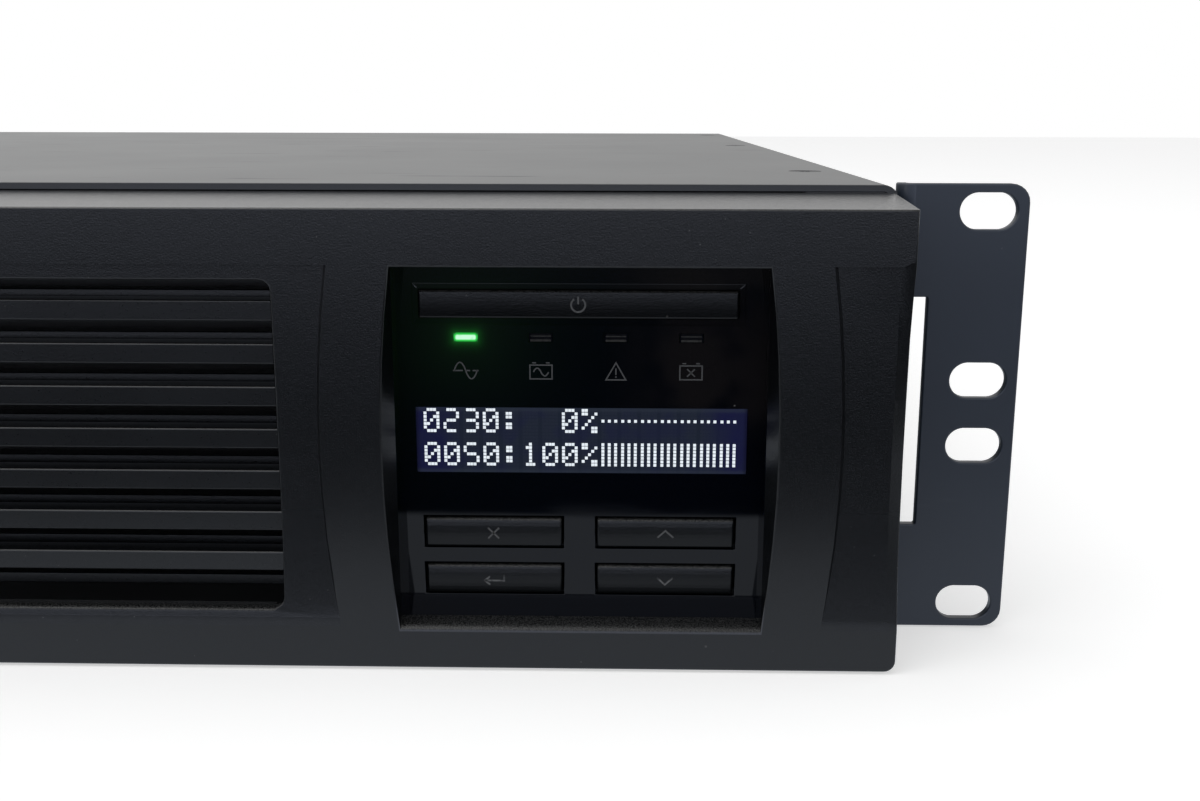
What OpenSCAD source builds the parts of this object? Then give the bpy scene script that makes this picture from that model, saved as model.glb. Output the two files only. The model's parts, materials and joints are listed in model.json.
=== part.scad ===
// Rack-mounted uninterruptible power supply, two rack units high.
// +X points right as seen from the front, +Y points to the rear and +Z points up.
// The origin is at the middle of the footprint, on the surface that the case stands on.

/* [Case] */
// Width across the top cover
case_w = 432; // [430:1:440]
// Height from the underside to the top of the cover
case_h = 86; // [86:0.5:88]
// Depth of the sheet-metal case behind the rack ears
case_d = 448; // [440:1:600]
// Thickness of the case sheet
sheet = 1.2; // [1:0.1:1.5]
// Outer radius of the folds of the cover
fold_r = 3; // [2:0.5:5]
// Width of the flanges turned in along the top of the base tray
lap_w = 16; // [15:1:24]
// Number of ventilation slots in each side
side_vent_count = 12; // [4:1:14]
// Width of each ventilation slot
side_vent_w = 3; // [2:0.5:5]
// Height of each ventilation slot
side_vent_h = 34; // [20:1:50]

/* [Rack ears] */
// How far each ear stands out past the side of the case
ear_reach = 24; // [23:0.25:25.25]
// How far an ear stands past the top and the underside of the case's middle
ear_over = 0.1; // [0:0.05:0.2]
// Thickness of the ear steel
ear_t = 2; // [1.5:0.25:2.5]
// Length of the ear flange along the side of the case
ear_flange = 40; // [34:1:60]
// How much shorter that flange is than the case at its top and at its bottom
ear_flange_cut = 6; // [3:0.5:8]
// Rounding of the outer corners of an ear
ear_corner = 3.5; // [1:0.5:6]
// Distance from the outer edge of an ear to the middle of its rack slots
rack_in = 7.45; // [6.5:0.05:8.5]
// Distance from the upper or lower edge of an ear to the middle of its outer slot
rack_end = 5; // [4.8:0.05:5.2]
// Distance between the inner rack slots of one ear
rack_inner = 12.7; // [12.5:0.1:12.9]
// Height of a rack slot
rack_slot_h = 6.8; // [6:0.1:7.2]
// Length of a rack slot
rack_slot_l = 10.6; // [9:0.1:11]
// Width of the relief cut beside the case
relief_w = 6.2; // [5:0.1:8]
// Height of the relief cut beside the case
relief_h = 44.3; // [30:0.5:50]

/* [Bezel] */
// Depth of the bezel in front of the ears
bezel_d = 22.5; // [20:0.5:28]
// Space left free between the bezel and each side of the case
bezel_side_gap = 1; // [0.5:0.25:1.5]
// Fall of the bezel's top from the cover to its front edge
bezel_fall = 1.4; // [0:0.1:3]
// Thickness of the bezel's walls
bezel_wall = 2.6; // [2.2:0.1:3]
// Lowest edge of the recessed band across the bezel
band_z = 8.2; // [7:0.1:9]
// Height of the frame above the recessed band
band_above = 9.6; // [9:0.1:10.4]
// Depth of the band beside the louvre
louvre_recess = 1.2; // [0.4:0.1:1.4]
// Depth of the finger grips at the ends of the bezel
grip_recess = 0.8; // [0.4:0.1:1.4]
// How far the curved sides of the pod and of its window bow outwards
pod_bow = 2.4; // [1:0.1:4]
// Width of the raised pod around the display
pod_w = 91; // [86:0.5:94]
// Width of the raised pillar at the left end
pillar_w = 15; // [10:0.5:20]
// Diameter of the four studs that hold the bezel
stud_d = 5; // [4:0.25:5.5]

/* [Louvre] */
// Height of the recess below the louvre opening
louvre_below = 3.2; // [2:0.1:5]
// Height of the recess above the louvre opening
louvre_above = 2.9; // [2:0.1:5]
// Rounding of the corners of the louvre opening
louvre_r = 2; // [0.5:0.5:4]
// Margin between the louvre opening and the sides of its recess
louvre_margin = 8; // [5:0.5:12]
// Depth of the lip along the lower edge of the louvre opening
louvre_lip = 2.3; // [1.5:0.1:2.6]
// Number of louvre slats
slat_count = 7; // [4:1:7]
// Height of a slat
slat_h = 3.65; // [2.5:0.05:4.5]
// Height of the gap above the topmost slat
slat_above = 3.7; // [2:0.05:5]
// Height of the gap below the lowest slat
slat_below = 6.05; // [3:0.05:8]
// Thickness of a slat from front to back
slat_t = 4.6; // [3:0.1:5]
// Height of a bar of the inner baffle
baffle_bar_h = 2; // [1:0.1:3]

/* [Display] */
// Distance from the middle of the display to the right side of the case
display_in = 57.9; // [57:0.1:60]
// Width of the window in the bezel at mid-height
window_w = 69.5; // [68:0.1:71]
// Depth of the window's walls
tunnel_d = 3; // [2.6:0.1:4]
// Depth of the display face behind the bezel's front
face_depth = 8.5; // [7.5:0.1:10]
// Margin of the window beside the display face, at mid-height
face_side = 1.85; // [1.2:0.05:2.5]
// Margin of the window above and below the display face
face_end = 0.5; // [0.2:0.05:1]
// Margin of the face beside the power button
power_side = 4.55; // [3:0.05:8]
// Height of the power button
power_h = 5; // [4:0.1:5.4]
// Distance from the top of the face to the middle of the power button
power_down = 7; // [6:0.1:8]
// Margin of the face beside the menu keys
key_side = 4.65; // [4:0.05:8]
// Space between the two columns of menu keys
key_space = 6.5; // [4:0.1:10]
// Height of a menu key
key_h = 5.4; // [4:0.1:5.8]
// Distance between the two rows of keys
key_dy = 9; // [8.6:0.1:9.4]
// Height of the middle of the key block above the lower edge of the face
keys_up = 10; // [9.5:0.1:11]
// How far the keys stand out of the display face
key_proud = 0.8; // [0.4:0.1:1.5]
// Travel of every key
key_travel = 1.2; // [0.6:0.1:1.6]
// Width of a status light
light_w = 4.2; // [2:0.1:6]
// Height of a status light
light_h = 1.5; // [1:0.1:1.8]
// Distance from one status light to the next
light_pitch = 13.4; // [10:0.1:15]
// Distance from the top of the face to the middle of the status lights
lights_down = 13; // [12:0.1:14]
// Margin of the face beside the screen
lcd_side = 3.05; // [2:0.05:6]
// Height of the screen
lcd_h = 12; // [10:0.1:13]

/* [Battery] */
// Width of the strip between the battery bay and the display
thumb_strip = 16.15; // [15:0.05:20]
// Height of one battery block, which lies on its side
cell_h = 94; // [90:1:98]
// Space above the battery blocks
cell_above = 9; // [8:0.5:14]
// Space above the battery bay
bay_above = 5.6; // [5:0.1:8]
// Space between the two rows of blocks, for the terminals and leads
cell_gap = 16; // [14:1:24]
// Thickness of the runners under the battery tray
runner_t = 1.5; // [1:0.1:2.5]
// Width of the pull strap
strap_w = 20; // [12:1:30]
// Diameter of a thumbscrew's head
thumb_d = 9; // [7:0.5:9.5]
// Length of a thumbscrew's head
thumb_l = 7; // [5:0.5:8]

/* [Power parts] */
// Space beside the transformer core
core_side = 11.9; // [11:0.1:18]
// Space above the transformer core
core_above = 10.3; // [8:0.1:20]
// Thickness of the transformer's lamination stack
core_t = 56; // [40:1:70]
// Height of the standoffs under the main board
standoff_h = 8; // [6:0.5:10]
// Thickness of the circuit boards
pcb_t = 1.6; // [1.2:0.1:2]
// Space between the heatsinks and the relays behind them
sink_space = 12.8; // [4:0.1:60]
// Number of fins on each heatsink
fin_count = 9; // [5:1:12]
// Diameter of the main capacitors
cap_d = 24; // [16:1:26]
// Height of the main capacitors
cap_h = 40; // [25:1:50]

/* [Rear] */
// How far the fan guard stands out of the rear panel
guard_proud = 6.5; // [5.5:0.25:8]
// Space under the square fan
fan_below = 2; // [1:0.1:4]
// Thickness of the fan
fan_t = 25; // [20:1:32]
// Number of fan blades
blade_count = 7; // [5:1:9]
// Distance from one outlet to the next along a row
outlet_pitch = 31; // [29:0.5:33]
// Distance between the two rows of outlets
outlet_row = 32; // [28:0.5:34]

/* [Hidden] */
$fn = 48;

// Clearances
lap_gap = 0.1;      // between sheets that lie against each other
run_gap = 0.3;      // between parts that slide past each other
fit_gap = 0.05;     // radial clearance of a round running fit
through = 1;        // how far a cutting shape runs past the face that it cuts

// Case
front_y = bezel_d - (bezel_d + case_d + guard_proud) / 2;
tray_x = case_w / 2 - sheet - lap_gap;      // outer face of the tray's side walls
wall_x = tray_x - sheet;                    // inner face of the tray's side walls
lap_z = case_h - sheet - lap_gap;           // top of the tray's turned-in flanges
panel_z = lap_z - sheet;                    // top of the panels between the side walls
cover_edge = 0.4;                           // lower edge of the cover's sides
panel_mid = case_h / 2 + 0.2;               // mid-height of the rack pattern
side_vent_pitch = side_vent_w * 2.5;
side_vent_y = case_d - 160;
cover_screw_in = 10.6;
screw_r = 2;
screw_head_r = 3.8;
screw_head_h = 2.4;
countersunk_r = 3.6;

// Rack ears
ear_x = case_w / 2;
ear_end = ear_x + ear_reach;
ear_h = case_h + 2 * ear_over;
ear_bend = ear_t + 1;
ear_z = panel_mid - ear_h / 2;
ear_flange_h = case_h - 2 * ear_flange_cut;
ear_screw_y = ear_flange - 10;
ear_screw_dz = ear_flange_h / 2 - 7;
ear_screw_zs = [panel_mid - ear_screw_dz, panel_mid, panel_mid + ear_screw_dz];
rack_x = ear_end - rack_in;
rack_outer = ear_h - 2 * rack_end;

// Bezel
bezel_x = case_w / 2 - bezel_side_gap;
bezel_lift = 0.3;
bezel_back_h = case_h - sheet - run_gap + 0.1;
bezel_front_h = bezel_back_h - bezel_fall;
bezel_front = -bezel_d;
bezel_back = -0.2;
bezel_corner = 2;
band_h = bezel_front_h - band_above - band_z;
band_mid = band_z + band_h / 2;
display_x = case_w / 2 - display_in;
grip_edge = 2.7;                            // flat end of a grip, in from the bezel's side
grip_slope = [0.9, 2.8];                    // rounding of the side edge along a grip
strip_w = 10;                               // frame beside the battery bay
stud_x = wall_x - strip_w / 2;
stud_zs = [band_z + 6, band_z + band_h - 2];
stud_reach = 3;
boss_r = stud_d / 2 + 1.5;
grommet_wall = 1.2;
pillar_x = -(bezel_x - 12 - pillar_w / 2);

// Louvre
louvre_x1 = display_x - pod_w / 2 - louvre_margin;
louvre_x0 = pillar_x + pillar_w / 2 + louvre_margin;
louvre_z0 = band_z + louvre_below;
louvre_h = band_h - louvre_below - louvre_above;
slat_set_back = 2;
slat_y = bezel_front + louvre_recess + slat_set_back;
slat_top = louvre_z0 + louvre_h - slat_above;
slat_pitch = (louvre_h - slat_above - slat_below - slat_h) / (slat_count - 1);
rib_t = 2;
slat_end = 2 + rib_t;
baffle_y = slat_y + slat_t + 1.4;
baffle_end = slat_end - rib_t;
baffle_t = 4;
baffle_drop = 0.9;

// Display
face_y = bezel_front + face_depth;
window_h = band_h - 0.6;
face_w = window_w - 2 * face_side;
face_h = window_h - 2 * face_end;
rim_w = 1;                                  // rim of the display beyond the window
rim_gap = 1;                                // between the window's walls and that rim
case_front_w = window_w + 2 * rim_w;
case_front_h = window_h + 2 * rim_w + 0.6;
fascia_t = 2;
fascia_back = face_y + fascia_t;
housing_wall = 1.8;
housing_flange = 2.5;
housing_back = 4;
key_gap = 0.4;
power_gap = 1.2;
key_lip = 0.8;
key_lip_t = 1;
switch_w = 6;
switch_h = 3.5;
stem_w = 4;
stem_back = fascia_back + lap_gap + key_lip_t + 1;
pcb_front = stem_back + key_travel + run_gap + switch_h;
lcd_pane_t = 1.2;
lcd_border = 2;
lcd_z = band_mid;
lcd_w = face_w - 2 * lcd_side;
light_gap = 0.1;
face_top = band_mid + face_h / 2;
keys_mid = band_mid - face_h / 2 + keys_up;
key_w = face_w / 2 - key_side - key_space / 2;
key_dx = key_w + key_space;
key_xs = [display_x - key_dx / 2 - 0.35, display_x + key_dx / 2 - 0.35];
key_zs = [keys_mid + key_dy / 2, keys_mid - key_dy / 2];
power_w = face_w - 2 * power_side;
power_z = face_top - power_down;
light_z = face_top - lights_down;
light_xs = [for (i = [-1.5:1:1.5]) display_x - 0.5 + i * light_pitch];

// Battery bay
tray_play = 0.6;
display_left = display_x - case_front_w / 2 - housing_flange;
bay_x0 = -(wall_x - strip_w);
bay_x1 = display_left - thumb_strip;
bay_mid = (bay_x0 + bay_x1) / 2;
bay_top = panel_z - bay_above;
tray_w = bay_x1 - bay_x0 - 2 * tray_play;
cell_l = tray_w / 2 - sheet - 0.8;
tray_z = sheet + runner_t;
tray_y0 = 5;
tray_len = 2 * (cell_h + sheet) + cell_gap;
tray_y1 = tray_y0 + tray_len;
tray_wall_h = 36;
cell_z = tray_z + sheet;
cell_t = bay_top - cell_above - cell_z;
plug_l = 6;
plug_w = 30;
plug_h = 18;
plug_z = cell_z + 30;
bay_y1 = tray_y1 + plug_l + 4.6;
cover_screw_ys = [51, bay_y1 + 20, case_d - 36];
partition_x = bay_x1 + 0.8;
lead_r = 2.2;
tab_w = 6.3;
tab_t = 0.8;
tab_l = 6;
tab_dx = cell_l / 2 - 15.5;
tab_z = cell_z + cell_t - 12;
door_gap = 0.1;
door_t = 1.2;
door_lap = 1.6;
door_fold = 6;
lug_r = thumb_d / 2 + 0.1;
thumb_front = -door_gap - door_t - lap_gap - thumb_l;
door_z = bezel_lift + bezel_wall + run_gap;
thumb_hole = screw_r + lap_gap;
thumb_xs = [lug_r + run_gap + bezel_wall - bezel_x, (bay_x1 + display_left) / 2];
thumb_z = panel_mid;
thumb_reach = 5;

// Transformer, in the column behind the display
column_x0 = partition_x + sheet;
column_mid = (column_x0 + wall_x) / 2;
core_y = 82;
core_w = wall_x - column_x0 - 2 * core_side;
core_leg = core_w / 3;
core_yoke = core_leg / 2;
coil_build = core_leg / 2 - 1.2;
bracket_t = 2;
core_z = sheet + bracket_t;
core_h = panel_z - core_above - core_z;

// Main board
board_x0 = -(wall_x - 7.5);
board_x1 = partition_x + sheet + 36;
board_y0 = bay_y1 + sheet + 9;
board_y1 = case_d - 32;
board_z = sheet + standoff_h;
board_top = board_z + pcb_t;
relay_y0 = board_y1 - 23;
relay_y1 = board_y1 - 11;
sink_y = board_y0 + 18;
sink_l = relay_y0 - sink_space - sink_y;
board_mid = (board_x0 + board_x1) / 2;
sink_xs = [board_x0 + 50, board_mid - 44];
sink_w = 50;
sink_base = 5;
sink_h = 45;
fin_t = 1.6;
cap_xs = [board_x1 - 120, board_x1 - 90, board_x1 - 60];
cap_ys = [board_y0 + 30, board_y0 + 62];
coil_y = (cap_ys[1] + cap_d / 2 + relay_y0) / 2;
coil_ring = 13;
coil_r = 7.5;
ribbon_x0 = board_x1 - 16;
ribbon_w = 12;
ribbon_t = 1;

// Rear
rear_in = case_d - sheet;
fan_size = panel_z - sheet - fan_below - run_gap;
fan_x = wall_x - fan_size / 2 - 5.5;
fan_z = sheet + fan_below + fan_size / 2;
fan_r = fan_size / 2 - 2;
fan_hub = 17;
fan_pitch = fan_size * 71.5 / 80;
fan_y = rear_in - fan_t;
guard_wire = 1.6;
inlet_x = board_x0 + 22;
inlet_z = 30;
breaker_x = board_x0 + 10;
breaker_z = panel_z - 19.5;
breaker_travel = 4;
breaker_r = 3.2;
ground_x = board_x0 + 38;
outlet_x0 = board_x0 + 68;
outlet_z = 41;
outlet_cols = 4;
outlet_plate_t = 1.5;
outlet_x1 = outlet_x0 + (outlet_cols - 1) * outlet_pitch;
outlet_plate_r = 16;
slot_x0 = outlet_x1 + outlet_plate_r + 19;
slot_x1 = fan_x - fan_size / 2 - 34;
slot_x = (slot_x0 + slot_x1) / 2;
slot_w = slot_x1 - slot_x0;
slot_z = panel_z - 21.5;
slot_h = 26;
usb_x = slot_x0 + 18;
data_x = slot_x0 + 48;
port_z = 28;

// Points on an arc, from angle a0 to a1
function arc(x, y, r, a0, a1, n = 6) =
    [for (i = [0:n]) let (a = a0 + (a1 - a0) * i / n) [x + r * cos(a), y + r * sin(a)]];

// Children drawn from the plane of the rack ears
module in_place() translate([0, front_y, 0]) children();

// The child on the right, and its mirror image on the left
module both_sides() {
    children();
    mirror([1, 0, 0]) children();
}

// Box between two corners
module block(x0, x1, y0, y1, z0, z1)
    translate([x0, y0, z0]) cube([x1 - x0, y1 - y0, z1 - z0]);

// Box with its middle in X and Z given, between two depths
module face_block(x, z, w, h, y0, y1) block(x - w / 2, x + w / 2, y0, y1, z - h / 2, z + h / 2);

// Outline in X and Z, extruded between two depths
module slab(y0, y1) translate([0, y1, 0]) rotate([90, 0, 0]) linear_extrude(y1 - y0) children();

// Outline in Y and Z, extruded between two places across
module bar(x0, x1) translate([x0, 0, 0]) rotate([90, 0, 90]) linear_extrude(x1 - x0) children();

// Cylinders along each axis
module rod_x(y, z, r, x0, x1) translate([x0, y, z]) rotate([0, 90, 0]) cylinder(r = r, h = x1 - x0);
module rod_y(x, z, r, y0, y1) translate([x, y1, z]) rotate([90, 0, 0]) cylinder(r = r, h = y1 - y0);
module rod_z(x, y, r, z0, z1) translate([x, y, z0]) cylinder(r = r, h = z1 - z0);

// Rectangle with rounded corners around the origin
module round_rect(w, h, r) {
    x = w / 2 - r;
    y = h / 2 - r;
    polygon(concat(arc(x, y, r, 0, 90), arc(-x, y, r, 90, 180),
                   arc(-x, -y, r, 180, 270), arc(x, -y, r, 270, 360)));
}

// Rectangle whose upright sides bow outwards, w wide at mid-height
module bowed(w, h, grow = 0) {
    r = (band_h * band_h / 4 + pod_bow * pod_bow) / (2 * pod_bow);
    intersection() {
        square([w + 2 * grow, h + 2 * grow], center = true);
        translate([r - w / 2, 0]) circle(r = r + grow, $fn = 360);
        translate([w / 2 - r, 0]) circle(r = r + grow, $fn = 360);
    }
}

// Wire of radius r through a list of points, with rounded bends
module wire(points, r) {
    for (i = [1:len(points) - 1]) {
        run = points[i] - points[i - 1];
        translate(points[i - 1]) rotate([0, acos(run.z / norm(run)), atan2(run.y, run.x)])
            cylinder(r = r, h = norm(run), $fn = 24);
    }
    for (i = [1:len(points) - 2]) translate(points[i]) sphere(r = r * 1.06, $fn = 24);
}

// Screw with a round head above the origin and its shank below
module pan_screw(shank) {
    cylinder(r = screw_head_r, h = screw_head_h);
    translate([0, 0, -shank]) cylinder(r = screw_r, h = shank + screw_head_h / 2);
}

// ---- Case ----

// Slots in the right side of the case, for both skins of the wall
module side_vents()
    for (i = [0:side_vent_count - 1])
        translate([0, side_vent_y + i * side_vent_pitch, 0])
            block(wall_x - through, case_w / 2 + through, 0, side_vent_w,
                  panel_mid - side_vent_h / 2, panel_mid + side_vent_h / 2);

// Holes through the right side of the case for the ear's screws
module ear_screw_holes(r)
    for (z = ear_screw_zs) rod_x(ear_screw_y, z, r, wall_x - through, ear_x + ear_t + through);

// Section of a channel open below: x to each side, z high, with rounded folds
module channel(x, z, r, z0) polygon(concat(
    [[-x, z0]], arc(r - x, z - r, r, 180, 90), arc(x - r, z - r, r, 90, 0), [[x, z0]]));

module base_tray() color("#2c2e31") in_place() difference() {
    slab(0, rear_in) difference() {
        channel(tray_x, lap_z, fold_r - sheet, 0);
        translate([-wall_x, sheet]) square([2 * wall_x, panel_z - sheet]);
        translate([lap_w - tray_x, sheet]) square([2 * (tray_x - lap_w), case_h]);
    }
    both_sides() side_vents();
    both_sides() ear_screw_holes(screw_r + lap_gap);
    both_sides() for (y = cover_screw_ys)
        rod_z(case_w / 2 - cover_screw_in, y, screw_r + lap_gap, panel_z - through, lap_z + through);
}

module top_cover() color("#303236") in_place() difference() {
    slab(0, case_d) difference() {
        channel(case_w / 2, case_h, fold_r, cover_edge);
        channel(case_w / 2 - sheet, case_h - sheet, fold_r - sheet, cover_edge - through);
    }
    both_sides() side_vents();
    both_sides() ear_screw_holes(screw_r + lap_gap);
    both_sides() for (y = cover_screw_ys)
        translate([case_w / 2 - cover_screw_in, y, case_h - sheet - lap_gap]) {
            cylinder(r = screw_r + 2 * lap_gap, h = 2 * sheet);
            translate([0, 0, lap_gap]) cylinder(r1 = screw_r + 2 * lap_gap, r2 = countersunk_r + lap_gap, h = sheet);
        }
}

module cover_screws() color("#55585c") in_place() both_sides() for (y = cover_screw_ys)
    translate([case_w / 2 - cover_screw_in, y, 0]) {
        rod_z(0, 0, screw_r, panel_z - lap_gap, case_h - sheet);
        translate([0, 0, case_h - sheet]) cylinder(r1 = screw_r, r2 = countersunk_r - lap_gap, h = sheet - lap_gap);
    }

// Section of the right ear: an angle with a rounded bend
module ear_section() polygon(concat(
    [[ear_x, ear_flange]],
    arc(ear_x + ear_bend, ear_bend, ear_bend, 180, 270),
    [[ear_end, 0], [ear_end, ear_t]],
    arc(ear_x + ear_bend, ear_bend, ear_bend - ear_t, 270, 180),
    [[ear_x + ear_t, ear_flange]]));

// A rack slot: two round ends joined by flats a hair closer than their diameter
module rack_slot(z) {
    reach = (rack_slot_l - rack_slot_h) / 2;
    for (s = [-1, 1])
        rod_y(rack_x + s * reach, z, rack_slot_h / 2, -through, ear_t + through);
    face_block(rack_x, z, 2 * reach, rack_slot_h - 0.02, -through, ear_t + through);
}

module ear() difference() {
    intersection() {
        translate([0, 0, ear_z]) linear_extrude(ear_h) ear_section();
        slab(-through, ear_flange + through) translate([0, panel_mid])
            round_rect(2 * ear_end, ear_h, ear_corner);
    }
    for (s = [-1, 1]) {
        rack_slot(panel_mid + s * rack_outer / 2);
        rack_slot(panel_mid + s * rack_inner / 2);
    }
    for (s = [0, 1]) translate([0, 0, panel_mid]) mirror([0, 0, s])
        block(ear_x - through, ear_x + ear_t + 0.5, ear_bend + 1, ear_flange + through,
              ear_flange_h / 2, ear_h);
    block(ear_x - through, ear_x + relief_w, -through, ear_bend + 3,
          panel_mid - relief_h / 2, panel_mid + relief_h / 2);
    ear_screw_holes(screw_r + lap_gap);
}

module right_ear() color("#26303a") in_place() ear();
module left_ear() color("#26303a") in_place() mirror([1, 0, 0]) ear();

module ear_screws() color("#2a2c2e") in_place() both_sides() for (z = ear_screw_zs)
    translate([ear_x + ear_t, ear_screw_y, z]) rotate([0, 90, 0]) pan_screw(ear_t + 2 * sheet + 3);

// Hole in the frame for the display's housing
module display_opening() translate([display_x, band_mid])
    square([case_front_w + 2 * run_gap, case_front_h + 2 * run_gap], center = true);

module front_frame() color("#3a3c3e") in_place() difference() {
    union() {
        block(-wall_x, wall_x, 0, sheet, sheet, panel_z);
        block(-wall_x, wall_x, 0, 12, panel_z - sheet, panel_z);
    }
    block(bay_x0, bay_x1, -through, sheet + through, tray_z - run_gap, bay_top);
    slab(-through, sheet + through) display_opening();
    both_sides() for (z = stud_zs)
        rod_y(stud_x, z, stud_d / 2 + grommet_wall, -through, sheet + through);
    for (x = thumb_xs) rod_y(x, thumb_z, thumb_hole, -through, sheet + through);
}

module stud_grommets() color("#1c1c1c") in_place() both_sides() for (z = stud_zs) difference() {
    union() {
        rod_y(stud_x, z, stud_d / 2 + grommet_wall, 0, sheet + 2);
        rod_y(stud_x, z, stud_d / 2 + grommet_wall + 0.6, sheet, sheet + 2);
    }
    rod_y(stud_x, z, stud_d / 2 + fit_gap, -through, sheet + 2 + through);
}

module bay_partition() color("#8d9093") in_place() difference() {
    union() {
        block(partition_x, partition_x + sheet, sheet, bay_y1 + sheet, sheet, panel_z - sheet);
        block(partition_x - 8, partition_x, sheet, bay_y1 + sheet, sheet, 2 * sheet);
        block(-wall_x, partition_x + sheet, bay_y1, bay_y1 + sheet, sheet, panel_z);
        block(-wall_x, partition_x + sheet, bay_y1, bay_y1 + 8, sheet, 2 * sheet);
    }
    face_block(bay_mid, plug_z, plug_w + 4, plug_h + 4, bay_y1 - through, bay_y1 + sheet + through);
}

module bay_runners() color("#d8d8d0") in_place() for (x = [bay_x0 + 20, bay_mid, bay_x1 - 20])
    block(x - 6, x + 6, sheet + 2, bay_y1 - 4, sheet, sheet + runner_t);

// ---- Front bezel ----

// Side view of the bezel, drawn in by an inset
module bezel_section(inset, back) polygon([
    [bezel_front + inset, bezel_lift + inset], [bezel_front + inset, bezel_front_h - inset],
    [back, bezel_back_h - inset], [back, bezel_lift + inset]]);

module bezel_outline() translate([0, (bezel_lift + case_h) / 2])
    round_rect(2 * bezel_x, case_h - bezel_lift, bezel_corner);

// The recessed band from one end of the bezel to the other, around the pod and the pillar
module band_outline(x0, x1) difference() {
    translate([x0, band_z]) square([x1 - x0, band_h]);
    translate([display_x, band_mid]) bowed(pod_w, band_h + 2 * through);
    translate([pillar_x, band_mid]) bowed(pillar_w, band_h + 2 * through);
}

// Finger grip at the right end, with the side edge cut back along it
module grip_cut() intersection() {
    slab(bezel_front - through, 0) translate([0, band_z]) square([2 * bezel_x, band_h]);
    linear_extrude(case_h) polygon([
        [display_x, bezel_front - through], [display_x, bezel_front + grip_recess],
        [bezel_x - grip_edge, bezel_front + grip_recess],
        [bezel_x - grip_slope[0], bezel_front + grip_recess + grip_slope[1]],
        [bezel_x - grip_slope[0], 0], [bezel_x + through, 0], [bezel_x + through, bezel_front - through]]);
}

module louvre_outline() translate([(louvre_x0 + louvre_x1) / 2, louvre_z0 + louvre_h / 2])
    round_rect(louvre_x1 - louvre_x0, louvre_h, louvre_r);

module front_bezel() color("#232427") in_place() {
    difference() {
        intersection() {
            bar(-bezel_x, bezel_x) bezel_section(0, bezel_back);
            slab(bezel_front - through, through) bezel_outline();
        }
        difference() {
            bar(-(bezel_x - bezel_wall), bezel_x - bezel_wall) bezel_section(bezel_wall, through);
            slab(bezel_front, bezel_front + tunnel_d) translate([display_x, band_mid])
                bowed(window_w, window_h, bezel_wall - 0.6);
            both_sides() for (z = stud_zs) rod_y(stud_x, z, boss_r, bezel_front, -door_t - 4);
        }
        slab(bezel_front - through, bezel_front + louvre_recess)
            band_outline(pillar_x, display_x);
        difference() {
            both_sides() grip_cut();
            slab(bezel_front - 2 * through, 0) union() {
                translate([pillar_x, 0]) square([display_x - pillar_x, case_h]);
                translate([display_x, band_mid]) bowed(pod_w, band_h + 2 * through);
                translate([pillar_x, band_mid]) bowed(pillar_w, band_h + 2 * through);
            }
        }
        slab(bezel_front - through, bezel_front + bezel_wall + through) louvre_outline();
        slab(bezel_front - through, bezel_front + tunnel_d + through)
            translate([display_x, band_mid]) bowed(window_w, window_h);
    }
    block(louvre_x0 + louvre_r, louvre_x1 - louvre_r, bezel_front + bezel_wall - through,
          bezel_front + louvre_recess + louvre_lip, louvre_z0 - 1.5, louvre_z0);
    both_sides() for (z = stud_zs) rod_y(stud_x, z, stud_d / 2, bezel_front + bezel_wall, stud_reach);
}

module louvre_slats() color("#1f2022") in_place() {
    for (i = [0:slat_count - 1])
        block(louvre_x0 - slat_end, louvre_x1 + slat_end, slat_y, slat_y + slat_t,
              slat_top - i * slat_pitch - slat_h, slat_top - i * slat_pitch);
    for (x = [louvre_x0 - slat_end, louvre_x1 + slat_end - rib_t])
        block(x, x + rib_t, bezel_front + bezel_wall, slat_y + slat_t, louvre_z0, louvre_z0 + louvre_h);
}

module louvre_baffle() color("#151516") in_place() {
    for (i = [0:slat_count])
        block(louvre_x0 - baffle_end, louvre_x1 + baffle_end, baffle_y, baffle_y + baffle_t,
              slat_top - i * slat_pitch - baffle_drop,
              slat_top - i * slat_pitch - baffle_drop + baffle_bar_h);
    for (i = [0:3])
        translate([louvre_x0 - baffle_end + i * (louvre_x1 - louvre_x0 + 2 * baffle_end - rib_t) / 3, 0, 0])
            block(0, rib_t, slat_y + slat_t, thumb_front - run_gap, louvre_z0, louvre_z0 + louvre_h);
}

// ---- Display ----

// Boxes of each key: the cap in front and the lip and stem behind the fascia
module key(x, z, w, h, gap) {
    face_block(x, z, w, h, face_y - key_proud, fascia_back + lap_gap + key_lip_t);
    face_block(x, z, w + 2 * (gap + key_lip), h + 2 * (gap + key_lip),
               fascia_back + lap_gap, fascia_back + lap_gap + key_lip_t);
    face_block(x, z, stem_w, stem_w, fascia_back + lap_gap, stem_back);
}

module power_button() color("#17181a") in_place() key(display_x - 0.5, power_z, power_w, power_h, power_gap);
module escape_key() color("#17181a") in_place() key(key_xs[0], key_zs[0], key_w, key_h, key_gap);
module enter_key() color("#17181a") in_place() key(key_xs[0], key_zs[1], key_w, key_h, key_gap);
module up_key() color("#17181a") in_place() key(key_xs[1], key_zs[0], key_w, key_h, key_gap);
module down_key() color("#17181a") in_place() key(key_xs[1], key_zs[1], key_w, key_h, key_gap);

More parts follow.
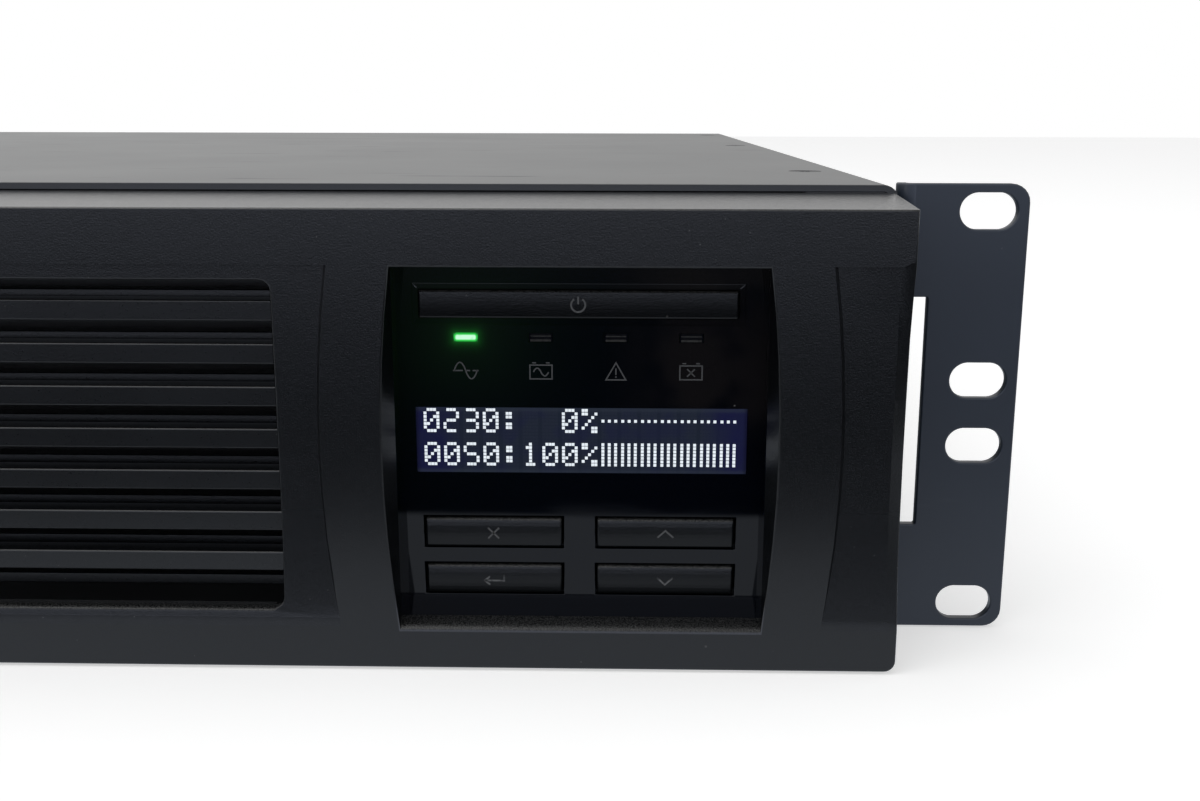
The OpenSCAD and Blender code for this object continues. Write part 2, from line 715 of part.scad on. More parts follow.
module display_fascia() color("#0c0c0e") in_place() difference() {
    face_block(display_x, band_mid, case_front_w, case_front_h, bezel_front + tunnel_d + rim_gap, fascia_back);
    face_block(display_x, band_mid, face_w, face_h, bezel_front, face_y);
    face_block(display_x - 0.5, power_z, power_w + 2 * power_gap, power_h + 2 * power_gap,
               bezel_front, fascia_back + through);
    for (x = key_xs, z = key_zs)
        face_block(x, z, key_w + 2 * key_gap, key_h + 2 * key_gap, bezel_front, fascia_back + through);
    for (x = light_xs)
        face_block(x, light_z, light_w + 2 * light_gap, light_h + 2 * light_gap,
                   bezel_front, fascia_back + through);
    face_block(display_x, lcd_z, lcd_w + 2 * light_gap, lcd_h + 2 * light_gap,
               bezel_front, fascia_back + through);
}

module display_housing() color("#1d1e20") in_place() difference() {
    union() {
        face_block(display_x, band_mid, case_front_w, case_front_h, fascia_back, housing_back);
        face_block(display_x, band_mid, case_front_w + 2 * housing_flange,
                   case_front_h + 2 * housing_flange, -housing_flange / 2, 0);
    }
    face_block(display_x, band_mid, case_front_w - 2 * housing_wall, case_front_h - 2 * housing_wall,
               fascia_back - through, housing_back + through);
}

module lcd_window() color("#2a2f55", 0.5) in_place()
    face_block(display_x, lcd_z, lcd_w, lcd_h, face_y, face_y + lcd_pane_t);

module lcd_module() color("#30343a") in_place() {
    face_block(display_x, lcd_z, lcd_w, lcd_h, face_y + lcd_pane_t, fascia_back);
    face_block(display_x, lcd_z, lcd_w + lcd_border, lcd_h + 2 * lcd_border, fascia_back, pcb_front);
}

module light_pipe(x) face_block(x, light_z, light_w, light_h, face_y, pcb_front - 1.5);
module online_light() color("#55e070") in_place() light_pipe(light_xs[0]);
module status_lights() color("#3c3f42") in_place() for (i = [1:3]) light_pipe(light_xs[i]);

module display_board() color("#1f5a34") in_place() {
    face_block(display_x, band_mid, case_front_w - 2 * housing_wall, case_front_h - 2 * housing_wall,
               pcb_front, pcb_front + pcb_t);
    for (x = light_xs) face_block(x, light_z, 3, light_h, pcb_front - 1.2, pcb_front);
    face_block(ribbon_x0 + ribbon_w / 2, power_z, ribbon_w + 2, 6, pcb_front + pcb_t, pcb_front + pcb_t + 4);
}

module key_switches() color("#c8c8c4") in_place() {
    for (x = key_xs, z = key_zs) face_block(x, z, switch_w, switch_w, pcb_front - switch_h, pcb_front);
    face_block(display_x - 0.5, power_z, switch_w, switch_w, pcb_front - switch_h, pcb_front);
}

// ---- Battery bay ----

module battery_door() color("#34373a") in_place() difference() {
    union() {
        block(bay_x0 - door_lap, bay_x1 + door_lap, -door_gap - door_t, -door_gap,
              door_z, bay_top + door_lap);
        block(bay_x0 - door_lap, bay_x1 + door_lap, -door_gap - door_fold, -door_gap,
              bay_top + door_lap - door_t, bay_top + door_lap);
        for (i = [0, 1]) {
            rod_y(thumb_xs[i], thumb_z, lug_r, -door_gap - door_t, -door_gap);
            inner = [bay_x0, bay_x1][i];
            block(min(thumb_xs[i], inner), max(thumb_xs[i], inner), -door_gap - door_t, -door_gap,
                  thumb_z - lug_r, thumb_z + lug_r);
        }
    }
    for (x = thumb_xs) rod_y(x, thumb_z, thumb_hole, -door_gap - door_t - through, through);
}

module thumbscrew(x) {
    rod_y(x, thumb_z, thumb_d / 2, thumb_front, -door_gap - door_t - lap_gap - 1);
    rod_y(x, thumb_z, thumb_d / 2 - 1, -door_gap - door_t - lap_gap - 1, -door_gap - door_t - lap_gap);
    rod_y(x, thumb_z, screw_r, -door_gap - door_t - lap_gap - 1, thumb_reach);
}

module left_thumbscrew() color("#9a9da0") in_place() thumbscrew(thumb_xs[0]);
module right_thumbscrew() color("#9a9da0") in_place() thumbscrew(thumb_xs[1]);

module battery_tray() color("#8d9093") in_place() difference() {
    block(bay_mid - tray_w / 2, bay_mid + tray_w / 2, tray_y0, tray_y1, tray_z, tray_z + tray_wall_h);
    block(bay_mid - tray_w / 2 + sheet, bay_mid + tray_w / 2 - sheet, tray_y0 + sheet, tray_y1 - sheet,
          tray_z + sheet, tray_z + tray_wall_h + through);
}

// Four blocks on their sides, in two rows with their terminals towards each other
module battery_blocks() color("#3a3d42") in_place() for (s = [-1, 1], row = [0, 1])
    translate([bay_mid + s * (cell_l / 2 + 0.2), tray_y0 + sheet + row * (cell_h + cell_gap) + 0.2, cell_z])
        block(-cell_l / 2, cell_l / 2, 0, cell_h - 0.4, 0, cell_t);

// Places of the flat terminals along the width of the tray
function tab_xs() = [for (s = [-1, 1], t = [-1, 1]) bay_mid + s * cell_l / 2 + t * tab_dx];
row1_y = tray_y0 + sheet + cell_h - 0.2;
row2_y = tray_y0 + sheet + cell_h + cell_gap + 0.2;

module battery_terminals() color("#c9ccd0") in_place() for (x = tab_xs()) {
    face_block(x, tab_z, tab_t, tab_w, row1_y, row1_y + tab_l);
    face_block(x, tab_z, tab_t, tab_w, row2_y - tab_l, row2_y);
}

// Links between neighbouring blocks, and the two leads over the rear row to the plug
module battery_leads() color("#a0282c") in_place() {
    xs = tab_xs();
    gap = tab_t / 2 + lead_r;
    for (pair = [[xs[0], xs[2]], [xs[1], xs[3]]], y = [row1_y + 3, row2_y - 3])
        wire([[pair[0] + gap, y, tab_z], [pair[0] + gap, y, tab_z + 9 + (pair[0] - xs[0]) / 16],
              [pair[1] - gap, y, tab_z + 9 + (pair[0] - xs[0]) / 16], [pair[1] - gap, y, tab_z]], lead_r);
    for (s = [-1, 1])
        wire([[bay_mid + s * 10, row2_y + 6, cell_z + cell_t + lead_r], 
              [bay_mid + s * 10, tray_y1 + lead_r + run_gap, cell_z + cell_t + lead_r],
              [bay_mid + s * 10, tray_y1 + lead_r + run_gap, plug_z + plug_h / 2]], lead_r);
}

module battery_plug() color("#b8342a") in_place()
    face_block(bay_mid, plug_z, plug_w, plug_h, tray_y1, tray_y1 + plug_l);

module pull_strap() color("#1b1b1d") in_place() {
    y = tray_y0 - 2.2;
    z = tray_z + tray_wall_h / 2;
    face_block(bay_mid, z, 90, strap_w, y, y + 1.2);
    for (s = [-1, 1]) face_block(bay_mid + s * 40, z, 10, strap_w, y + 1.2, tray_y0);
}

module battery_socket() color("#27282b") in_place() difference() {
    union() {
        face_block(bay_mid, plug_z, plug_w + 3.4, plug_h + 3.4, tray_y1 + plug_l + run_gap, bay_y1 + 8);
        face_block(bay_mid, plug_z, plug_w + 10, plug_h + 10, bay_y1 + sheet, bay_y1 + 3);
    }
    for (s = [-1, 1]) face_block(bay_mid + s * 7, plug_z, 8, 10, 0, bay_y1);
}

// ---- Transformer ----

module transformer_core() color("#6b5a48") in_place() translate([column_mid, core_y, core_z]) difference() {
    block(-core_w / 2, core_w / 2, 0, core_t, 0, core_h);
    for (s = [-1, 1])
        block(s * core_leg * 0.75 - core_leg / 4, s * core_leg * 0.75 + core_leg / 4, -through,
              core_t + through, core_yoke, core_h - core_yoke);
}

module transformer_coils() color("#b5642a") in_place()
    translate([column_mid, core_y + core_t / 2, core_z + core_yoke + run_gap])
        linear_extrude(core_h - 2 * core_yoke - 2 * run_gap) difference() {
            round_rect(core_leg + 2 * coil_build, core_t + 2 * coil_build, 5);
            square([core_leg + 2 * run_gap, core_t + 2 * run_gap], center = true);
        }

module transformer_bracket() color("#9a9da0") in_place() {
    x = core_w / 2;
    block(column_mid - x - 10, column_mid + x + 10, core_y + 4, core_y + core_t - 4, sheet, core_z);
    for (s = [0, 1]) translate([column_mid, 0, 0]) mirror([s, 0, 0])
        block(x, x + bracket_t, core_y + 8, core_y + core_t - 8, sheet, core_z + core_h);
    block(column_mid - x - bracket_t, column_mid + x + bracket_t, core_y + 8, core_y + core_t - 8,
          core_z + core_h, core_z + core_h + bracket_t);
}

// ---- Main board ----

standoff_xs = [board_x0 + 8, board_mid, board_x1 - 8];
standoff_ys = [board_y0 + 6, (board_y0 + board_y1) / 2, board_y1 - 6];

module main_board() color("#20613a") in_place() difference() {
    block(board_x0, board_x1, board_y0, board_y1, board_z, board_top);
    for (x = standoff_xs, y = standoff_ys) rod_z(x, y, 1.7, board_z - through, board_top + through);
}

module board_standoffs() color("#c2a24a") in_place() for (x = standoff_xs, y = standoff_ys) {
    rod_z(x, y, 3.5, sheet, board_z);
    rod_z(x, y, 1.6, board_z, board_top + 2);
    rod_z(x, y, 3, board_top, board_top + 2);
}

module heatsinks() color("#b4b8bc") in_place() for (x = sink_xs)
    translate([x, sink_y, board_top]) {
        block(-sink_w / 2, sink_w / 2, 0, sink_l, 0, sink_base);
        for (i = [0:fin_count - 1])
            translate([-sink_w / 2 + i * (sink_w - fin_t) / (fin_count - 1), 0, 0])
                block(0, fin_t, 0, sink_l, 0, sink_h);
    }

module capacitors() color("#28324a") in_place() for (x = cap_xs, y = cap_ys)
    rod_z(x, y, cap_d / 2, board_top, board_top + cap_h);

module relays() color("#2f3236") in_place() for (i = [0:4])
    translate([board_x0 + 70 + i * 34, 0, board_top]) block(-14, 14, relay_y0, relay_y1, 0, 22);

module inductors() color("#b06a2c") in_place() for (i = [0, 1])
    translate([cap_xs[0] + 8 + i * 44, coil_y, board_top + coil_ring + coil_r + lap_gap])
        rotate([90, 0, 0]) rotate_extrude() translate([coil_ring, 0]) circle(r = coil_r);

module power_leads() color("#2b2b2e") in_place() {
    for (s = [-1, 1])
        wire([[bay_mid + s * 7, bay_y1 + 8, plug_z], [bay_mid + s * 7, bay_y1 + 14, plug_z],
              [bay_mid + s * 7, bay_y1 + 14, board_top]], lead_r);
    for (i = [0:2])
        wire([[column_mid + i * 8, core_y + core_t + coil_build, core_z + core_h / 2],
              [column_mid + i * 8, bay_y1 - 6, core_z + core_h / 2],
              [board_x1 - 46 + i * 8, board_y0 + 8, core_z + core_h / 2],
              [board_x1 - 46 + i * 8, board_y0 + 8, board_top]], lead_r);
}

module display_ribbon() color("#a9adb2") in_place() {
    x0 = ribbon_x0;
    x1 = ribbon_x0 + ribbon_w;
    y0 = pcb_front + pcb_t + 4;
    y1 = board_y0 + 14;
    z1 = panel_z - 2.5;
    block(x0, x1, y0, 15, power_z, power_z + ribbon_t);
    block(x0, x1, 15 - ribbon_t, 15, power_z, z1);
    block(x0, x1, 15 - ribbon_t, y1, z1 - ribbon_t, z1);
    block(x0, x1, y1 - ribbon_t, y1, board_top, z1);
}

// ---- Rear ----

// Outline of an appliance coupler: a rectangle with its two upper corners cut off
module coupler(w, h, cut) polygon([
    [-w / 2, -h / 2], [w / 2, -h / 2], [w / 2, h / 2 - cut], [w / 2 - cut, h / 2],
    [cut - w / 2, h / 2], [-w / 2, h / 2 - cut]]);

outlet_centres = [for (i = [0:outlet_cols - 1], j = [-1, 1])
    [outlet_x0 + i * outlet_pitch, outlet_z + j * outlet_row / 2]];
outlet_body = [27, 20];
inlet_body = [28, 20.4];
screw_spots = concat(
    [for (s = [-1, 1], t = [-1, 1]) [fan_x + s * fan_pitch / 2, fan_z + t * fan_pitch / 2]],
    [for (s = [-1, 1]) [slot_x + s * (slot_w / 2 + 6), slot_z]],
    [for (s = [-1, 1]) [inlet_x + s * 20, inlet_z]],
    [[ground_x, breaker_z]]);

module rear_panel() color("#2c2e31") in_place() difference() {
    block(-wall_x, wall_x, rear_in, case_d, sheet, panel_z);
    rod_y(fan_x, fan_z, fan_r, rear_in - through, case_d + through);
    face_block(inlet_x, inlet_z, inlet_body[0] + 2 * lap_gap, inlet_body[1] + 2 * lap_gap,
               rear_in - through, case_d + through);
    block(outlet_x0 - outlet_body[0] / 2 - lap_gap, outlet_x1 + outlet_body[0] / 2 + lap_gap,
          rear_in - through, case_d + through, outlet_z - outlet_row / 2 - outlet_body[1] / 2 - lap_gap,
          outlet_z + outlet_row / 2 + outlet_body[1] / 2 + lap_gap);
    rod_y(breaker_x, breaker_z, breaker_r + 2.4 + lap_gap, rear_in - through, case_d + through);
    face_block(slot_x, slot_z, slot_w, slot_h, rear_in - through, case_d + through);
    face_block(usb_x, port_z, 12.4, 11.4, rear_in - through, case_d + through);
    face_block(data_x, port_z, 16.4, 14.4, rear_in - through, case_d + through);
    for (c = screw_spots) rod_y(c[0], c[1], screw_r + lap_gap, rear_in - through, case_d + through);
}

module fan_frame() color("#1a1a1c") in_place() difference() {
    union() {
        difference() {
            slab(fan_y, rear_in) translate([fan_x, fan_z]) round_rect(fan_size, fan_size, 4);
            rod_y(fan_x, fan_z, fan_r, fan_y - through, rear_in + through);
        }
        rod_y(fan_x, fan_z, fan_hub - 1, rear_in - 4, rear_in - 1);
        for (a = [45:90:315]) translate([fan_x, rear_in - 3, fan_z]) rotate([0, a, 0])
            translate([fan_hub - 3, 0, -1.5]) cube([fan_r - fan_hub + 4, 2, 3]);
    }
    for (s = [-1, 1], t = [-1, 1])
        rod_y(fan_x + s * fan_pitch / 2, fan_z + t * fan_pitch / 2, screw_r + lap_gap,
              fan_y - through, rear_in + through);
}

module fan_rotor() color("#202022") in_place() translate([fan_x, 0, fan_z]) {
    rod_y(0, 0, fan_hub, fan_y + 1, rear_in - 4.5);
    for (i = [0:blade_count - 1]) rotate([0, i * 360 / blade_count, 0])
        translate([fan_hub - 1, (fan_y + rear_in) / 2 - 2, 0]) rotate([35, 0, 0])
            translate([0, -0.8, -9]) cube([fan_r - fan_hub - 1.5, 1.6, 18]);
}

module fan_guard() color("#b9bdc1") in_place() translate([fan_x, 0, fan_z]) {
    spoke_r = guard_wire * 0.55;
    y = case_d + guard_proud - spoke_r;
    for (r = [8:9:fan_r]) translate([0, y, 0]) rotate([90, 0, 0])
        rotate_extrude() translate([r, 0]) circle(d = guard_wire, $fn = 16);
    for (a = [45:90:315]) rotate([0, a, 0]) {
        reach = fan_pitch / sqrt(2);
        rod_x(y, 0, spoke_r, 6, reach - 5);
        rod_y(reach - 5, 0, guard_wire * 0.6, case_d, y + spoke_r / 2);
        difference() {
            rod_y(reach, 0, 5, case_d, case_d + guard_wire);
            rod_y(reach, 0, screw_r + 0.4, case_d - through, case_d + guard_wire + through);
        }
    }
}

module rear_screws() color("#c6c9cc") in_place() for (i = [0:len(screw_spots) - 1]) {
    seat = i < 4 ? guard_wire : i < 6 ? sheet : i < 8 ? 2.5 : 0;
    translate([screw_spots[i][0], case_d + seat, screw_spots[i][1]]) rotate([-90, 0, 0])
        pan_screw(seat + sheet + 4);
}

module mains_inlet() color("#18181a") in_place() difference() {
    union() {
        face_block(inlet_x, inlet_z, inlet_body[0], inlet_body[1], case_d - 20, case_d + 2.5);
        face_block(inlet_x, inlet_z, 50, 24, case_d, case_d + 2.5);
    }
    slab(case_d - 14, case_d + 2.5 + through) translate([inlet_x, inlet_z]) coupler(24.2, 16.4, 4);
    for (s = [-1, 1]) rod_y(inlet_x + s * 20, inlet_z, screw_r + 0.2, case_d - through, case_d + 3 + through);
    for (p = [[-7, -2], [0, 2], [7, -2]])
        face_block(inlet_x + p[0], inlet_z + p[1], 2, 4, case_d - 21, case_d - 13);
}

module inlet_pins() color("#d0c9a8") in_place() for (p = [[-7, -2], [0, 2], [7, -2]])
    face_block(inlet_x + p[0], inlet_z + p[1], 2, 4, case_d - 24, case_d - 1);

module outlet_blocks() color("#161618") in_place() difference() {
    union() {
        block(outlet_x0 - outlet_plate_r, outlet_x1 + outlet_plate_r, case_d,
              case_d + outlet_plate_t, outlet_z - outlet_row / 2 - 13, outlet_z + outlet_row / 2 + 13);
        for (c = outlet_centres)
            face_block(c[0], c[1], outlet_body[0], outlet_body[1], case_d - 20, case_d + outlet_plate_t);
    }
    for (c = outlet_centres) slab(case_d - 16, case_d + outlet_plate_t + through) translate(c) difference() {
        coupler(24.6, 16.8, 4.2);
        coupler(18.6, 11, 2.6);
    }
    for (c = outlet_centres, p = [[-7, -1.4], [0, 2.4], [7, -1.4]])
        face_block(c[0] + p[0], c[1] + p[1], 2.4, 4.6, case_d - 15, case_d + outlet_plate_t + through);
}

module breaker_body() color("#1c1c1e") in_place() difference() {
    union() {
        face_block(breaker_x, breaker_z, 14, 26, case_d - 26, rear_in);
        rod_y(breaker_x, breaker_z, breaker_r + 2.4, rear_in - 1, case_d + 3);
        translate([breaker_x, case_d + 2.4, breaker_z]) rotate([90, 0, 0]) cylinder(r = 7, h = 2.4, $fn = 6);
    }
    rod_y(breaker_x, breaker_z, breaker_r + fit_gap, case_d - 12, case_d + 3 + through);
}

module breaker_button() color("#e8e6df") in_place()
    rod_y(breaker_x, breaker_z, breaker_r, case_d - 11.6, case_d + guard_proud - 2.5);

module usb_port() color("#bfc2c6") in_place() {
    difference() {
        face_block(usb_x, port_z, 12, 11, case_d - 16, case_d + 0.6);
        face_block(usb_x, port_z, 8.6, 7.9, case_d - 9, case_d + 0.6 + through);
    }
    face_block(usb_x, port_z, 5.6, 3.2, case_d - 9, case_d);
}

module data_port() color("#2a2c30") in_place() difference() {
    face_block(data_x, port_z, 16, 14, case_d - 18, case_d + 0.6);
    face_block(data_x, port_z + 1, 11.8, 8, case_d - 13, case_d + 0.6 + through);
    face_block(data_x, port_z - 3.6, 6, 3, case_d - 13, case_d + 0.6 + through);
}

module slot_cover() color("#34373a") in_place() difference() {
    face_block(slot_x, slot_z, slot_w + 24, slot_h + 4, case_d, case_d + sheet);
    for (s = [-1, 1])
        rod_y(slot_x + s * (slot_w / 2 + 6), slot_z, screw_r + lap_gap, case_d - through, case_d + sheet + through);
}

base_tray();
top_cover();
cover_screws();
front_frame();
bay_partition();
bay_runners();
rear_panel();
left_ear();
right_ear();
ear_screws();
stud_grommets();
front_bezel();
louvre_slats();
louvre_baffle();
display_housing();
display_fascia();
lcd_window();
lcd_module();
online_light();
status_lights();
display_board();
key_switches();
power_button();
escape_key();
enter_key();
up_key();
down_key();
battery_door();
left_thumbscrew();
right_thumbscrew();
battery_tray();
battery_blocks();
battery_terminals();
battery_leads();
battery_plug();
pull_strap();
battery_socket();
transformer_core();
transformer_coils();
transformer_bracket();
main_board();
board_standoffs();
heatsinks();
capacitors();
relays();
inductors();
power_leads();
display_ribbon();
fan_frame();
fan_rotor();
fan_guard();
rear_screws();
mains_inlet();
inlet_pins();
outlet_blocks();
breaker_body();
breaker_button();
usb_port();
data_port();
slot_cover();
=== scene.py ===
"""Rack-mounted uninterruptible power supply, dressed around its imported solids."""

import json
import math

import bmesh
import bpy
from mathutils import Matrix, Vector
from mathutils.geometry import delaunay_2d_cdt


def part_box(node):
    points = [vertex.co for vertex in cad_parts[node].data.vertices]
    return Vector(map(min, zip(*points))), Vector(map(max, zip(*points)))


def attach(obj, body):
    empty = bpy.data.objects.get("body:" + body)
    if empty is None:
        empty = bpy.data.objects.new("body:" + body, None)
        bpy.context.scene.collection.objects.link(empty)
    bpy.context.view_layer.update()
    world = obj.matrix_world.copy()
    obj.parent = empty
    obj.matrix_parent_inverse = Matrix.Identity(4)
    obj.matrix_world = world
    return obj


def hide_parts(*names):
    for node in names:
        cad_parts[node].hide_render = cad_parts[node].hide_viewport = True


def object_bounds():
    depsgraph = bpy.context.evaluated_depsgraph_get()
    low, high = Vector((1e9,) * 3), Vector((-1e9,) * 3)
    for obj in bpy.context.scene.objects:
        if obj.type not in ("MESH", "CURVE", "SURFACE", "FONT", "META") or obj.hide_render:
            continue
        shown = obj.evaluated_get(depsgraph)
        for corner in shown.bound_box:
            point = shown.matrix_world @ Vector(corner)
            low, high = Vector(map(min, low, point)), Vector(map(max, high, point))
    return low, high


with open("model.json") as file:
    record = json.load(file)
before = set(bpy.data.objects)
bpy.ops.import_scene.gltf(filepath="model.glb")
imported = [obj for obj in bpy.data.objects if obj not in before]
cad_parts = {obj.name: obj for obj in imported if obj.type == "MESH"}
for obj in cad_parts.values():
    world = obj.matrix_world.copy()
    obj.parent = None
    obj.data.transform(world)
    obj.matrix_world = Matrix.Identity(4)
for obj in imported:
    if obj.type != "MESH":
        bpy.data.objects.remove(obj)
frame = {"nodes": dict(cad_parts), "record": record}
solid_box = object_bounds()

MM = 0.001
NODES = frame["nodes"]
BODY_OF = {node: body for body, nodes in frame["record"]["behaviour"]["bodies"].items()
           for node in nodes}
SLOT_OF = {node: obj.material_slots[0].material.name for node, obj in NODES.items()}


def middle(node):
    """The middle of a node's box."""
    low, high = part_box(node)
    return (low + high) / 2


CELL = 3.57 * MM            # from one character of the screen to the next
DOT_STEP = 0.575 * MM       # from one column of dots to the next
DOT = 0.52 * MM             # width of a dot
TEXT_SHIFT = 0.3 * MM       # how far the text stands left of the screen's middle


def screen_left():
    """Left edge of the first of the screen's sixteen characters."""
    return middle("lcd_window").x - TEXT_SHIFT - (15 * CELL + 4 * DOT_STEP + DOT) / 2


# ---- Camera ----

EYE = (0.16606, -0.4583, 0.10007)
YAW, PITCH, ROLL = -1.153, 12.75, -0.11     # degrees to the right, down and round
FOCAL_LENGTH = 39.105                       # millimetres on a sensor 36 wide


def place_camera():
    """Close in front of the display's end, looking a little down on it."""
    data = bpy.data.cameras.new("camera")
    data.sensor_width = 36
    data.lens = FOCAL_LENGTH
    data.clip_start = 0.01
    camera = bpy.data.objects.new("camera", data)
    bpy.context.scene.collection.objects.link(camera)
    yaw, pitch, roll = (math.radians(angle) for angle in (YAW, PITCH, ROLL))
    ahead = Vector((math.sin(yaw) * math.cos(pitch), math.cos(yaw) * math.cos(pitch), -math.sin(pitch)))
    level = Vector((math.cos(yaw), -math.sin(yaw), 0))
    down = ahead.cross(level)
    side = math.cos(roll) * level + math.sin(roll) * down
    up = math.sin(roll) * level - math.cos(roll) * down
    turn = Matrix((side, up, -ahead)).transposed().to_4x4()
    camera.matrix_world = Matrix.Translation(EYE) @ turn
    bpy.context.scene.camera = camera


# ---- Shader graphs ----

class Value:
    """A number somewhere in a shader graph; arithmetic on it adds the Math nodes."""

    def __init__(self, graph, socket):
        self.graph = graph
        self.socket = socket

    def math(self, operation, *others, clamp=False):
        settings = {"operation": operation, "use_clamp": clamp}
        return self.graph.add("ShaderNodeMath", settings, dict(enumerate(others)))

    def __add__(self, other):
        return self.math("ADD", self, other)

    def __sub__(self, other):
        return self.math("SUBTRACT", self, other)

    def __rsub__(self, other):
        return self.math("SUBTRACT", other, self)

    def __mul__(self, other):
        return self.math("MULTIPLY", self, other)

    def __truediv__(self, other):
        return self.math("DIVIDE", self, other)

    def __pow__(self, other):
        return self.math("POWER", self, other)

    def __lt__(self, other):
        return self.math("LESS_THAN", self, other)

    __radd__ = __add__
    __rmul__ = __mul__

    def size(self):
        return self.math("ABSOLUTE", self)

    def wave(self):
        return self.math("SINE", self)

    def growth(self):
        return self.math("EXPONENT", self)

    def capped(self):
        return self.math("ADD", self, 0, clamp=True)

    def above_zero(self):
        return self.math("MAXIMUM", self, 0)

    def repeat(self, step):
        """Distance past the last whole step."""
        return self.math("FLOORED_MODULO", self, step)

    def ramp(self, start, end, low=0, high=1):
        """Smooth change from low to high between two values."""
        return self.graph.add("ShaderNodeMapRange", {"interpolation_type": "SMOOTHSTEP"},
                              {0: self, 1: start, 2: end, 3: low, 4: high})


class Graph:
    """The nodes of one material or of the world."""

    def __init__(self, tree):
        self.tree = tree
        self.tree.nodes.clear()

    def add(self, kind, settings, inputs, output=0):
        """Any node: its settings first, then the values or links of its sockets."""
        node = self.tree.nodes.new(kind)
        for name, value in settings.items():
            setattr(node, name, value)
        for name, value in inputs.items():
            if isinstance(value, Value):
                self.tree.links.new(value.socket, node.inputs[name])
            else:
                node.inputs[name].default_value = value
        return Value(self, node.outputs[output])

    def place(self):
        """Where a point lies on the object, in metres, before anything has moved."""
        return self.add("ShaderNodeTexCoord", {}, {}, "Object")

    def axes(self, vector):
        node = self.add("ShaderNodeSeparateXYZ", {}, {0: vector}).socket.node
        return [Value(self, socket) for socket in node.outputs]

    def stretched(self, vector, factors):
        return self.add("ShaderNodeVectorMath", {"operation": "MULTIPLY"}, {0: vector, 1: factors})

    def noise(self, size, detail=2, rough=0.5, at=None):
        """Soft random variation with features of about the given size in metres."""
        return self.add("ShaderNodeTexNoise", {}, {"Vector": at or self.place(), "Scale": 1 / size,
                                                   "Detail": detail, "Roughness": rough})

    def specks(self, spacing, radius):
        """Scattered round specks, 1 inside each."""
        cell = self.add("ShaderNodeTexVoronoi", {}, {"Vector": self.place(), "Scale": 1 / spacing})
        return cell.ramp(radius / spacing, 0.5 * radius / spacing)

    def mix(self, factor, low, high):
        """A colour between two colours."""
        return self.add("ShaderNodeMix", {"data_type": "RGBA"}, {0: factor, 6: low, 7: high}, 2)

    def bump(self, height, depth):
        """A surface raised by depth metres where height is 1."""
        return self.add("ShaderNodeBump", {}, {"Height": height, "Distance": depth, "Strength": 1})


def grey(level, blue=0.0):
    return (level, level * (1 + blue / 2), level * (1 + blue), 1)


def scaled(colour, factor):
    return tuple(part * factor for part in colour[:3]) + (1,)


class Finish(Graph):
    """A material: one Principled shader, its fixed values and its graph."""

    def __init__(self, name, **fixed):
        self.material = bpy.data.materials.new(name)
        self.material.use_nodes = True
        super().__init__(self.material.node_tree)
        output = self.tree.nodes.new("ShaderNodeOutputMaterial")
        self.shader = self.tree.nodes.new("ShaderNodeBsdfPrincipled")
        self.tree.links.new(self.shader.outputs[0], output.inputs[0])
        for key, value in fixed.items():
            self.set(key.replace("_", " ").title().replace("Ior", "IOR"), value)

    def set(self, socket, value):
        if isinstance(value, Value):
            self.tree.links.new(value.socket, self.shader.inputs[socket])
        else:
            self.shader.inputs[socket].default_value = value


# ---- Finishes ----

def powder_paint(name, colour, rough):
    """Baked powder paint on sheet steel: fine orange peel, faint handling marks and dust."""
    paint = Finish(name, ior=1.5)
    cloud = paint.noise(0.05, 3)
    fine = paint.noise(0.0009, 2)
    scuff = paint.noise(0.004, 3, at=paint.stretched(paint.place(), (0.12, 1, 1))).ramp(0.66, 0.74)
    dust = paint.specks(0.011, 0.0004)
    tone_and_highlight = paint.mix(cloud.ramp(0.3, 0.75), colour, scaled(colour, 1.25))
    dusty = paint.mix((dust * 0.35 + scuff * 0.05).capped(), tone_and_highlight, grey(0.22))
    paint.set("Base Color", dusty)
    paint.set("Roughness", rough + cloud * 0.07 - 0.035 + scuff * 0.12 + dust * 0.3)
    paint.set("Normal", paint.bump(fine, 5e-6))
    return paint.material


def moulded_plastic(name, colour, rough, grain=0.0003, depth=8e-5, tone_and_highlight=0.0, satin=0.0, **fixed):
    """Spark-eroded grain with small bright flats, dust, painted glints, and faces and edges that look up
    painted paler as a highlight of the light above.

    Satin takes the clear sheen off the lower part of the bezel's sunk fields.
    """
    plastic = Finish(name, ior=1.5, **fixed)
    cloud = plastic.noise(0.03, 3)
    pits = plastic.noise(grain, 3, 0.6)
    coarse = plastic.noise(grain * 3.1, 2)
    flat = pits.ramp(0.62, 0.74)
    dust = plastic.specks(0.016, 0.00035)
    # Painted glints: scattered pale specks in the colour, in patches, stand in for glints of light on the
    # grain.
    painted_glints = plastic.specks(0.0021, 0.00014) * plastic.noise(0.018, 3).ramp(0.52, 0.66)
    tone = plastic.mix(cloud.ramp(0.3, 0.7), colour, scaled(colour, 1.2))
    if satin:
        _, y, z = plastic.axes(plastic.place())
        sunk = (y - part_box("front_bezel")[0].y).ramp(0.00008, 0.0003) * z.ramp(0.045, 0.02)
        plastic.set("Coat Weight", 0.45 - sunk * satin)
    # Painted highlight: faces that look up are painted paler in the grain, by the given strength, as if lit
    # from above.
    upwards = plastic.axes(plastic.add("ShaderNodeTexCoord", {}, {}, "Normal"))[2]
    painted_upward_highlight = upwards.ramp(0.2, 0.7) * pits.ramp(0.35, 0.65) * tone_and_highlight
    tone = plastic.mix(painted_upward_highlight, tone, grey(0.15))
    plastic.set("Base Color", plastic.mix((dust * 0.3 + painted_glints * 0.4).capped(), tone, grey(0.2)))
    plastic.set("Roughness", rough + cloud * 0.06 - 0.03 - flat * 0.1)
    plastic.set("Normal", plastic.bump(pits * 0.7 + coarse * 0.3, depth))
    return plastic.material


